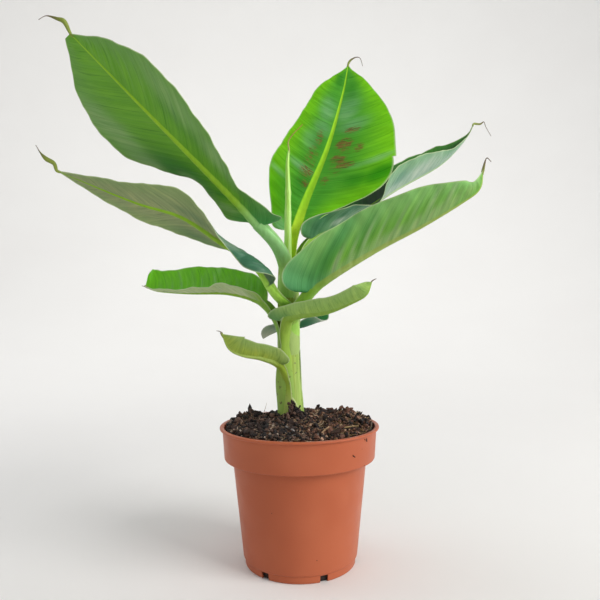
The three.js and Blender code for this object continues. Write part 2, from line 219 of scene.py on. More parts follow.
def noise(tree, place, scale, detail=3, roughness=0.55):
    """A Noise texture's value at a place."""
    inputs = {"Vector": place, "Scale": scale, "Detail": detail, "Roughness": roughness}
    return add_node(tree, "ShaderNodeTexNoise", inputs).outputs["Fac"]


def scaled(tree, place, scale):
    """A place scaled by its own amount along each axis, which draws a pattern out along the axis scaled least."""
    return add_node(tree, "ShaderNodeMapping", {"Vector": place, "Scale": scale}).outputs["Vector"]


def start_material(name):
    """A new material with its node tree, its Principled shader and the Object coordinates."""
    material = bpy.data.materials.new(name)
    material.use_nodes = True
    tree = material.node_tree
    shader = tree.nodes["Principled BSDF"]
    place = tree.nodes.new("ShaderNodeTexCoord").outputs["Object"]
    return material, tree, shader, place


def relief(tree, height, strength, distance):
    """The normal of a height that stands out by the distance in metres."""
    inputs = {"Height": height, "Strength": strength, "Distance": distance}
    return add_node(tree, "ShaderNodeBump", inputs).outputs["Normal"]


def pot_material():
    """Satin plastic: terracotta with faint clouding, a fine grain, and thin pale scuffs."""
    material, tree, shader, place = start_material("terracotta_plastic")
    cloud = spread(tree, noise(tree, place, 18, 2), 0.35, 0.65)
    colour = mix_colours(tree, cloud, (0.41, 0.101, 0.043, 1), (0.45, 0.119, 0.053, 1))
    scuffs = spread(tree, noise(tree, scaled(tree, place, (60, 60, 700)), 1, 4, 0.7), 0.69, 0.8, 0, 0.35)
    looks = {
        "Base Color": mix_colours(tree, scuffs, colour, (0.66, 0.30, 0.20, 1)),
        "Roughness": spread(tree, noise(tree, place, 60, 3), 0.3, 0.7, 0.36, 0.48),
        "Specular IOR Level": 0.22,
        "Normal": relief(tree, noise(tree, place, 1400, 2), 0.10, 0.0004),
    }
    feed(tree, shader, looks)
    return material


pot_shell = make_pot()
pot_shell.data.materials.append(pot_material())
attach(pot_shell, "root")
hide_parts("pot")


# Soil: coarse potting soil of coir and peat, filled to just under the lip and heaped a little round the stem. Its
# surface is a bed of lumps and crumbs, with coir fibres, bits of bark and a few pale chips lying in it.

SOIL_LEVEL = 99
SOIL_FOOT = 87
SOIL_REACH = 55.3
SOIL_FOOT_SHARE = 0.985
SOIL_RINGS = 70
SOIL_SPOKES = 200
SOIL_CREASE = 60
SOIL_MOUND = 7.5
SOIL_MOUND_SPREAD = 45
SOIL_HEAPS = [
    (40, 20, 5.5, 15), (14, 34, 2.5, 14), (-40, 16, 4.5, 10), (-22, 40, -4, 13), (10, -30, -2, 16),
    (-6, -5, 3.5, 15), (49, -5, 5, 10),
]  # fmt: skip
STEM_FOOT = (-6, 0)
STEM_CLEARANCE = 11.5
LUMP_WAVES = 14
LUMP_LENGTHS = (4, 13)
LUMP_HEIGHT = 0.055
LUMP_END = 1.02
LUMP_FADE = 6
CRUMB_COUNT = 6500
CRUMB_MARGIN = 1.2
CRUMB_GROWTH = (2.6, 0.30)
CRUMB_LEAST = 0.4
CRUMB_RISE = (-0.3, 1.5)
CRUMB_FLATNESS = (0.35, 0.9)
CRUMB_LARGE = 1.5
CRUMB_DENTS = (0.62, 1.15)
CRUMB_LENGTHS = (0.8, 1.5)
CRUMB_WIDTHS = (0.6, 1)
CRUMB_CREASE = 25
YELLOWER_FROM = 6
YELLOWER_TINT = (1.25, 0.95, 0.80)
CLUMP_COUNT = 230
CLUMP_PLACE = (-1.5, -11.5, 111)
CLUMP_SPREAD = (2.6, 1.2, 2.6)
CLUMP_SLOPE = 0.8
CLUMP_SIZES = (0.8, 2.3)
CHIPS = [
    (-3, -11.5, 113.5, 3, 0.09, 0.05, 0.04), (-4.5, -43, 102.6, 1.9, 0.30, 0.30, 0.31),
    (-25, -35, 103, 1.3, 0.24, 0.20, 0.17), (30, -30, 101.8, 1.5, 0.30, 0.22, 0.15),
    (13, -38, 102.2, 1.2, 0.26, 0.22, 0.19), (-12, -22, 105.6, 1.4, 0.22, 0.20, 0.19),
]  # fmt: skip
FIBRE_COUNT = 2000
FIBRE_MARGIN = 3
FIBRE_INSET = 0.6
FIBRE_GROWTH = (2.4, 2.1)
FIBRE_LEAST = 1.8
FIBRE_RISE = (0.2, 1.5)
FIBRE_LIFT = 0.8
FIBRE_BEND = 0.35
FIBRE_SIDES = 3
FIBRE_THICKNESS = (4, 0.036)
FIBRE_THINNEST = 0.06
FIBRE_TAPER = [0.5, 0.9, 1, 1, 0.9, 0.7, 0.3]
FIBRE_CREASE = 80
# Crumb tones from black to pale beige: real dark and pale grains, spread apart as painted shade and painted light.
SOIL_TONES = np.array(
    [(0.010, 0.006, 0.006), (0.040, 0.021, 0.016), (0.12, 0.064, 0.044), (0.28, 0.18, 0.13), (0.55, 0.44, 0.36)]
)
TONE_SHARES = (0.36, 0.22, 0.14, 0.16, 0.12)
DARK_TONES = 3
FIBRE_TONES = np.array([(0.10, 0.036, 0.020), (0.25, 0.12, 0.060), (0.48, 0.31, 0.18), (0.74, 0.58, 0.38)])
FIBRE_SHARES = (0.34, 0.30, 0.20, 0.16)
STRAW_TONE = np.array([0.30, 0.19, 0.055])
STRAW_SHARE = 0.6
STRAW_CORNER = (22, 4)
STICKS = [
    [[15.5, -37.5, 103.2], [17, -35, 103.9], [18.5, -32.5, 104.6], [20, -30.2, 105.2], [21.2, -28, 105.8]],
    [[-3.5, -36, 104.6], [-5.2, -34.2, 105.1], [-6.8, -32.4, 105.6], [-8.3, -30.6, 106.1], [-9.5, -29, 106.4]],
    [[28, -26, 104], [32, -24.5, 104.2], [36, -22, 104.3], [40, -19.5, 104.2], [44, -17.5, 104]],
]  # fmt: skip
STICK_RADII = [0.75, 0.85, 0.5]
STICK_TAPER = [0.7, 1, 1.05, 1, 0.6]
STICK_TONES = [(0.45, 0.27, 0.15), (0.34, 0.31, 0.30), (0.35, 0.24, 0.10)]
STICK_SIDES = 6
STICK_CREASE = 60
NOTCH_SOIL = [(0, 0.4), (39.6, 0.4), (39.8, 14), (0, 14)]


def soil_height(x, y):
    """The soil's broad surface: its level, a bell-shaped mound round the stem and bell-shaped heaps."""
    height = SOIL_LEVEL + SOIL_MOUND * np.exp(
        -((x - STEM_FOOT[0]) ** 2 + (y - STEM_FOOT[1]) ** 2) / SOIL_MOUND_SPREAD**2
    )
    for heap_x, heap_y, rise, width in SOIL_HEAPS:
        height = height + rise * np.exp(-((x - heap_x) ** 2 + (y - heap_y) ** 2) / width**2)
    return height


def lumps(x, y, random):
    """Roughness of the soil: a sum of plane waves sin(k.p + phase), each with a random way to run and length."""
    total = np.zeros_like(x)
    for _ in range(LUMP_WAVES):
        way = random.uniform(0, 2 * np.pi)
        length = random.uniform(*LUMP_LENGTHS)
        total += length * np.sin(2 * np.pi * (x * np.cos(way) + y * np.sin(way)) / length + random.uniform(0, 7))
    return LUMP_HEIGHT * total


def soil_bed(random):
    """A closed disc of soil: a polar grid whose heights are soil_height plus lumps, over a flat hidden base.

    The lumps fade out over the outermost part of the disc.
    """
    share = np.linspace(0, 1, SOIL_RINGS + 1)[1:, None]
    angle = round_angles(SOIL_SPOKES)
    x = SOIL_REACH * share * np.cos(angle)
    y = SOIL_REACH * share * np.sin(angle)
    z = soil_height(x, y) + lumps(x, y, random) * np.clip((LUMP_END - share) * LUMP_FADE, 0, 1)
    top = np.stack([x, y, z], -1)
    base = top[-1:] * (SOIL_FOOT_SHARE, SOIL_FOOT_SHARE, 0) + (0, 0, SOIL_FOOT)
    poles = [[0, 0, SOIL_FOOT], [0, 0, float(soil_height(0.0, 0.0))]]
    points = np.vstack([np.concatenate([base, top[::-1]]).reshape(-1, 3), poles])
    return points, faces_to_poles(SOIL_RINGS + 1, SOIL_SPOKES)


def on_soil(count, random, margin):
    """Random places on the soil, evenly spread over the disc up to a margin, and pushed clear of the stem."""
    radius = (SOIL_REACH - margin) * np.sqrt(random.uniform(0, 1, count))
    angle = random.uniform(0, 2 * np.pi, count)
    x, y = radius * np.cos(angle), radius * np.sin(angle)
    away = np.hypot(x - STEM_FOOT[0], y - STEM_FOOT[1])
    pushed = np.maximum(away, STEM_CLEARANCE) / np.maximum(away, 0.1)
    x = STEM_FOOT[0] + (x - STEM_FOOT[0]) * pushed
    y = STEM_FOOT[1] + (y - STEM_FOOT[1]) * pushed
    return np.stack([x, y, soil_height(x, y)], -1)


def turned_at_random(count, random):
    """count random rotation matrices, from unit quaternions."""
    q = random.normal(size=(count, 4))
    w, x, y, z = (q / np.linalg.norm(q, axis=1, keepdims=True)).T
    rows = [
        [1 - 2 * (y * y + z * z), 2 * (x * y - z * w), 2 * (x * z + y * w)],
        [2 * (x * y + z * w), 1 - 2 * (x * x + z * z), 2 * (y * z - x * w)],
        [2 * (x * z - y * w), 2 * (y * z + x * w), 1 - 2 * (x * x + y * y)],
    ]
    return np.array(rows).transpose(2, 0, 1)


def painted(piece, values):
    """Keeps a tone for each point of a piece."""
    attribute = piece.data.color_attributes.new("tone", "FLOAT_COLOR", "POINT")
    attribute.data.foreach_set("color", np.column_stack([values, np.ones(len(values))]).ravel())


def make_crumbs(name, centres, sizes, flatness, tones, random):
    """A piece of angular crumbs: each is an icosahedron whose corners lie nearer or farther out at random.

    It is stretched to a random length, width and flatness of its size, turned at random and placed.
    """
    ball = bmesh.new()
    bmesh.ops.create_icosphere(ball, subdivisions=1, radius=1)
    corners = np.array([v.co[:] for v in ball.verts])
    sides = np.array([[v.index for v in f.verts] for f in ball.faces])
    ball.free()
    count = len(centres)
    shape = corners[None] * random.uniform(*CRUMB_DENTS, (count, len(corners), 1))
    length, width = random.uniform(*CRUMB_LENGTHS, count), random.uniform(*CRUMB_WIDTHS, count)
    shape = shape * np.stack([length, width, flatness], -1)[:, None]
    points = np.einsum("nij,nkj->nki", turned_at_random(count, random), shape) * sizes[:, None, None]
    points = points + centres[:, None]
    faces = sides[None] + np.arange(count)[:, None, None] * len(corners)
    piece = new_piece(name, points.reshape(-1, 3), faces.reshape(-1, 3), crease=CRUMB_CREASE)
    painted(piece, np.repeat(tones, len(corners), axis=0))
    return piece


def strands(paths, radii, sides):
    """Thin closed strands. Round each path point runs a ring at radii, across the path's own direction."""
    along_path = np.gradient(paths, axis=1)
    along_path /= np.linalg.norm(along_path, axis=-1, keepdims=True)
    aside = np.cross(along_path, np.array([0.31, 0.17, 0.93]))
    aside /= np.linalg.norm(aside, axis=-1, keepdims=True)
    over = np.cross(along_path, aside)
    angle = round_angles(sides)
    ring = aside[:, :, None] * np.cos(angle)[:, None] + over[:, :, None] * np.sin(angle)[:, None]
    points = paths[:, :, None] + radii[..., None, None] * ring
    count, steps = paths.shape[:2]
    start = np.arange(count)[:, None] * steps * sides
    faces = (ring_quads(steps, sides)[None] + start[:, None]).reshape(-1, 4).tolist()
    cap = np.arange(sides)
    faces += (cap[::-1] + start).tolist()
    faces += (cap + (steps - 1) * sides + start).tolist()
    return points.reshape(-1, 3), faces


def lying_fibres(count, random):
    """Bent fibres on the soil: p(t) = start + t L d + t(1-t) bend, with their height kept near the soil's."""
    start = on_soil(count, random, FIBRE_MARGIN)
    way = random.uniform(0, 2 * np.pi, count)
    length = random.gamma(*FIBRE_GROWTH, count) + FIBRE_LEAST
    t = np.linspace(0, 1, len(FIBRE_TAPER))[None, :, None]
    heading = np.stack([np.cos(way), np.sin(way), np.zeros(count)], -1)[:, None]
    aside = np.stack([-np.sin(way), np.cos(way), np.zeros(count)], -1)[:, None]
    bend = random.normal(0, FIBRE_BEND, (count, 1, 1)) * length[:, None, None]
    path = start[:, None] + t * length[:, None, None] * heading + t * (1 - t) * 2 * bend * aside
    reach = np.hypot(path[..., 0], path[..., 1])
    inwards = np.minimum(1, (SOIL_REACH - FIBRE_INSET) / np.maximum(reach, 1))
    path[..., :2] *= inwards[..., None]
    rise = random.uniform(*FIBRE_RISE, (count, 1)) + random.exponential(FIBRE_LIFT, (count, 1)) * t[..., 0] ** 2
    path[..., 2] = soil_height(path[..., 0], path[..., 1]) + rise
    return path


def kept(tree, name, output="Fac"):
    """A value that a piece keeps for each of its points, or its colour with output Color."""
    return add_node(tree, "ShaderNodeAttribute", {}, attribute_name=name).outputs[output]


def soil_material(name, own_tone=True):
    """Moist, rough organic matter. The tone comes from the points' own colour or from a mottled brown."""
    material, tree, shader, place = start_material(name)
    mottle = noise(tree, place, 420, 4, 0.7)
    if own_tone:
        tone = kept(tree, "tone", "Color")
    else:
        # Near black: the tone of moist soil, darkened further as painted shade in the gaps between crumbs.
        light = spread(tree, mottle, 0.4, 0.62)
        tone = mix_colours(tree, light, (0.008, 0.005, 0.004, 1), (0.035, 0.018, 0.012, 1))
    shade = spread(tree, noise(tree, place, 900, 3, 0.6), 0.3, 0.7, 0.62, 1)
    grey = add_node(tree, "ShaderNodeCombineColor", {"Red": shade, "Green": shade, "Blue": shade}).outputs["Color"]
    looks = {
        "Base Color": mix_colours(tree, 1.0, tone, grey, "MULTIPLY"),
        "Roughness": spread(tree, mottle, 0.3, 0.7, 0.7, 0.95),
        "Normal": relief(tree, noise(tree, place, 1500, 4, 0.75), 0.6, 0.0006),
    }
    feed(tree, shader, looks)
    return material


soil_random = np.random.default_rng(11)
bed = new_piece("soil_bed", *soil_bed(soil_random), crease=SOIL_CREASE)
moist_soil_painted_shade = soil_material("moist_soil_painted_shade", own_tone=False)
bed.data.materials.append(moist_soil_painted_shade)

crumb_places = on_soil(CRUMB_COUNT, soil_random, CRUMB_MARGIN)
crumb_sizes = soil_random.gamma(*CRUMB_GROWTH, CRUMB_COUNT) + CRUMB_LEAST
crumb_places[:, 2] += soil_random.uniform(*CRUMB_RISE, CRUMB_COUNT) * crumb_sizes
crumb_tones = SOIL_TONES[soil_random.choice(len(SOIL_TONES), CRUMB_COUNT, p=TONE_SHARES)]
large = crumb_sizes > CRUMB_LARGE
crumb_tones[large] = SOIL_TONES[soil_random.choice(DARK_TONES, large.sum())]
crumb_tones = crumb_tones * np.where(crumb_places[:, :1] > YELLOWER_FROM, YELLOWER_TINT, 1)
clump = np.array(CLUMP_PLACE) + soil_random.normal(0, 1, (CLUMP_COUNT, 3)) * CLUMP_SPREAD
clump[:, 2] -= CLUMP_SLOPE * (clump[:, 0] - CLUMP_PLACE[0])
clump_sizes = soil_random.uniform(*CLUMP_SIZES, CLUMP_COUNT)
clump_tones = SOIL_TONES[soil_random.choice(DARK_TONES, CLUMP_COUNT)]
chips = np.array(CHIPS)
all_places = np.vstack([crumb_places, clump, chips[:, :3]])
all_sizes = np.concatenate([crumb_sizes, clump_sizes, chips[:, 3]])
all_tones = np.vstack([crumb_tones, clump_tones, chips[:, 4:]])
flatness = soil_random.uniform(*CRUMB_FLATNESS, len(all_places))
soil_crumbs = make_crumbs("soil_crumbs", all_places, all_sizes, flatness, all_tones, soil_random)
crumb_look = soil_material("soil_crumb")
soil_crumbs.data.materials.append(crumb_look)

fibre_paths = lying_fibres(FIBRE_COUNT, soil_random)
fibre_radii = soil_random.gamma(*FIBRE_THICKNESS, (FIBRE_COUNT, 1)) + FIBRE_THINNEST
fibre_skins = strands(fibre_paths, fibre_radii * FIBRE_TAPER, FIBRE_SIDES)
soil_fibres = new_piece("soil_fibres", *fibre_skins, crease=FIBRE_CREASE)
fibre_tones = FIBRE_TONES[soil_random.choice(len(FIBRE_TONES), FIBRE_COUNT, p=FIBRE_SHARES)]
straw = (fibre_paths[:, 0, 0] > STRAW_CORNER[0]) & (fibre_paths[:, 0, 1] < STRAW_CORNER[1])
fibre_tones[straw] = fibre_tones[straw] * (1 - STRAW_SHARE) + STRAW_TONE * STRAW_SHARE
painted(soil_fibres, np.repeat(fibre_tones, len(FIBRE_TAPER) * FIBRE_SIDES, axis=0))
soil_fibres.data.materials.append(soil_material("coir_fibre"))

stick_skins = strands(np.array(STICKS), np.outer(STICK_RADII, STICK_TAPER), STICK_SIDES)
soil_sticks = new_piece("soil_sticks", *stick_skins, crease=STICK_CREASE)
painted(soil_sticks, np.repeat(STICK_TONES, len(STICK_TAPER) * STICK_SIDES, axis=0))
soil_sticks.data.materials.append(soil_material("bark_stick"))

# The soil seen through the drain notches has the same near-black finish, its darkness partly painted shade.
soil_foot = new_piece("soil_at_notches", *turned(np.array(NOTCH_SOIL), POT_FACETS))
soil_foot.data.materials.append(moist_soil_painted_shade)

for part in (bed, soil_crumbs, soil_fibres, soil_sticks, soil_foot):
    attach(part, "root")
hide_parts("soil")


# Specks of soil: wet crumbs that dried on the outside of the pot when the plant was potted, most of them on its
# band. Each is given by its angle round the pot in degrees, its height and its size.

SPECKS = [
    (322, 98.2, 1.0), (324.5, 97.6, 1.5), (325, 96.4, 1.2), (322.6, 97.2, 0.7), (319.5, 92, 0.5),
    (310.6, 88.6, 1.3), (311.6, 87.8, 0.9), (309.8, 89.2, 0.8), (323.4, 79.6, 0.8), (285, 17, 0.6),
    (246, 50, 0.5),
]  # fmt: skip
SPECK_SCALE = 0.75
SPECK_FLATNESS = 0.6
SPECK_TONE = (0.07, 0.03, 0.018)

speck_angle, speck_height, speck_size = np.array(SPECKS).T
outside = np.interp(
    speck_height,
    [FOOT_HEIGHT, BAND_FOOT - BAND_SLOPE, BAND_FOOT, LIP_FOOT],
    [WALL_FOOT_RADIUS, WALL_TOP_RADIUS, BAND_FOOT_RADIUS, BAND_TOP_RADIUS],
)
around = np.radians(speck_angle)[:, None]
speck_places = rings_round(speck_height[:, None] * (0, 0, 1), outside[:, None], around)[:, 0]
pot_specks = make_crumbs(
    "pot_specks", speck_places, speck_size * SPECK_SCALE, np.full(len(SPECKS), SPECK_FLATNESS),
    [SPECK_TONE] * len(SPECKS), soil_random,
)  # fmt: skip
pot_specks.data.materials.append(crumb_look)
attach(pot_specks, "root")


# Stem: a false stem of leaf sheaths rolled round each other, juicy and smooth. This piece is its core, which the
# leaves' own sheaths wrap, with the pale torn edge of an outer sheath near the soil.

STEM_PATH = [
    (-6, 0, 98), (-6, 0, 118), (-6.7, 0, 140), (-7.3, 0, 162), (-7.4, 0, 184), (-8, 0, 206), (-8.8, 0, 228),
]  # fmt: skip
STEM_RADII = [10.6, 9.6, 8.9, 9.4, 10, 9.4, 8]
CORE_INSET = [0.2, 0.5, 1.1, 1.6, 1.8, 1.8, 2.2]
CORE_ROWS = 150
CORE_SIDES = 120
CORE_CREASE = 50
CORE_CLOSING = 0.05
CORE_TOP = 0.02
CORE_RIBS = 26
CORE_RIB_HEIGHT = 0.06
SHEATH_EDGE = [(262, 126), (282, 122.5), (300, 117), (318, 110), (335, 103)]
SHEATH_EDGE_WIDTH = 0.7
SHEATH_EDGE_LIFT = 0.45
SHEATH_STEP = 0.25
FLECK_BROWN = (0.10, 0.075, 0.03, 1)


def smooth_line(points, places):
    """A Catmull-Rom line through evenly numbered points, read at the given places from 0 to the last number.

    Between b and c, with neighbours a and d, the point is
    (2b + (c-a)f + (2a-5b+4c-d)f^2 + (3b-a-3c+d)f^3) / 2, where f runs from 0 to 1.
    """
    known = np.asarray(points, float)
    flat = known.ndim == 1
    known = known[:, None] if flat else known
    padded = np.vstack([2 * known[0] - known[1], known, 2 * known[-1] - known[-2]])
    places = np.clip(places, 0, len(known) - 1)
    step = np.minimum(places.astype(int), len(known) - 2)
    f = (places - step)[:, None]
    a, b, c, d = (padded[step + i] for i in range(4))
    line = 0.5 * (2 * b + (c - a) * f + (2 * a - 5 * b + 4 * c - d) * f**2 + (3 * b - a - 3 * c + d) * f**3)
    return line[:, 0] if flat else line


def values_along(values, share):
    """Evenly spaced values read smoothly at shares from 0 to 1 of their whole run."""
    return smooth_line(values, np.asarray(share, float) * (len(values) - 1))


def stem_at(height):
    """The stem's centre and radius at heights."""
    share = (np.asarray(height, float) - STEM_PATH[0][2]) / (STEM_PATH[-1][2] - STEM_PATH[0][2])
    share = np.clip(share, 0, 1)
    return values_along(STEM_PATH, share), values_along(STEM_RADII, share)


def skin_faces(rows, columns):
    """The faces of closed rings of points, with a flat face over each end."""
    ends = [list(range(columns))[::-1], [(rows - 1) * columns + i for i in range(columns)]]
    return ring_quads(rows, columns).tolist() + ends


def keep_values(piece, name, values):
    """Keeps one number for each point of a piece in an attribute."""
    piece.data.attributes.new(name, "FLOAT", "POINT").data.foreach_set("value", np.asarray(values, float).ravel())


def ringed_piece(name, rings, edge, crease):
    """A closed piece of rings of points, which keeps how near each point is to a sheath's free edge."""
    piece = new_piece(name, rings.reshape(-1, 3), skin_faces(*rings.shape[:2]), crease=crease)
    keep_values(piece, "edge", edge)
    return piece


def stem_core():
    """The core's points: rings of radius R(z) - inset, with fine lengthwise ribs and a raised sheath edge."""
    share = np.linspace(0, 1, CORE_ROWS)
    height = STEM_PATH[0][2] + share * (STEM_PATH[-1][2] - STEM_PATH[0][2])
    centre, radius = stem_at(height)
    angle = round_angles(CORE_SIDES)
    closing = np.sqrt(np.clip((1 - share) / CORE_CLOSING, CORE_TOP, 1))
    radius = (radius - values_along(CORE_INSET, share)) * closing
    edge_angle, edge_height = np.array(SHEATH_EDGE).T
    edge_at = np.interp(np.degrees(angle), edge_angle, edge_height, left=-1e3, right=-1e3)
    above = height[:, None] - edge_at[None]
    lip = np.exp(-((above / SHEATH_EDGE_WIDTH) ** 2))
    ribs = CORE_RIB_HEIGHT * np.sin(angle * CORE_RIBS)[None]
    ring = radius[:, None] + ribs + SHEATH_EDGE_LIFT * lip + SHEATH_STEP * (above < 0) * (edge_at[None] > 0)
    return rings_round(np.column_stack([centre[:, :2], height]), ring, angle), lip


def stem_material():
    """Juicy sheath: yellow-green with lengthwise streaks, pale at its edges, with a few brown flecks low down."""
    material, tree, shader, place = start_material("sheath_green")
    streaks = spread(tree, noise(tree, scaled(tree, place, (420, 420, 14)), 1, 3), 0.35, 0.65)
    greener = spread(tree, add_node(tree, "ShaderNodeSeparateXYZ", {"Vector": place}).outputs["X"], -0.008, 0.001)
    deep = mix_colours(tree, greener, (0.22, 0.30, 0.010, 1), (0.24, 0.38, 0.05, 1))
    light = mix_colours(tree, greener, (0.30, 0.40, 0.03, 1), (0.35, 0.50, 0.10, 1))
    colour = mix_colours(tree, streaks, deep, light)
    colour = mix_colours(tree, kept(tree, "edge"), colour, (0.62, 0.66, 0.36, 1))
    flecks = spread(tree, noise(tree, place, 260, 2, 0.5), 0.66, 0.74, 0, 0.75)
    looks = {
        "Base Color": mix_colours(tree, flecks, colour, FLECK_BROWN),
        "Roughness": 0.42,
        "Normal": relief(tree, streaks, 0.25, 0.0003),
    }
    feed(tree, shader, looks)
    return material


stem_piece = ringed_piece("stem_core", *stem_core(), crease=CORE_CREASE)
stem_piece.data.materials.append(stem_material())
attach(stem_piece, "root")
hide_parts("stem")


# Leaves: each is one growth from sheath to tip. The sheath wraps the stem low down, leaves it as a channelled
# stalk, and opens into a thin blade with a stout midrib, close side veins that run out from it, and a pale edge.

BLADE_THICKNESS = 0.4
STALK_THICKNESS = 2.6
STALK_ROUNDING = 0.35
SHEATH_THICKNESS = 0.5
SHEATH_MARGIN = 0.3
SHEATH_LAYER = 0.2
SHEATH_SINK = 2.4
SHEATH_POINTS = 4
LINE_POINTS = 1200
STALK_STEP = 1.0
BLADE_STEP = 0.8
STATION_CROWDING = 1.5
CHANNEL_TURN = 75
NECK_SHARE = 0.6
NECK_LENGTH = 3
TIP_HALF_WIDTH = 0.7
RIB_TAPER = 0.85
RIB_FALL = 1.3
RIB_WIDEST = 0.7
RIB_SHOWS = 1.12
RIB_SOFTNESS = 0.14
RIB_GROOVE = 0.18
RIB_COLUMNS = [0.3, 0.6, 0.85, 1.0, 1.25]
BLADE_COLUMNS = 28
COLUMN_CROWDING = 0.15
FULL_WIDTH = 14
PALE_EDGE = 0.9
VEIN_LENGTHS = (4.3, 6.1, 9.7)
VEIN_HEIGHT = 0.017
VEIN_CURVE = 0.3
VEIN_SWEEP = 0.3
WAVE_LENGTH = 27
FRILL_LENGTH = 11
FRILL_SHARE = 0.4
CREASE_SLANT = 1.3
CREASE_WIDTH = 1.1
CREASE_REACH = (0.25, 0.6)
CREASE_STRENGTH = (0.4, 1)
CREASE_LIFT = 0.5
BLADE_CREASE = 70
FIRST_LEAF_SEED = 40
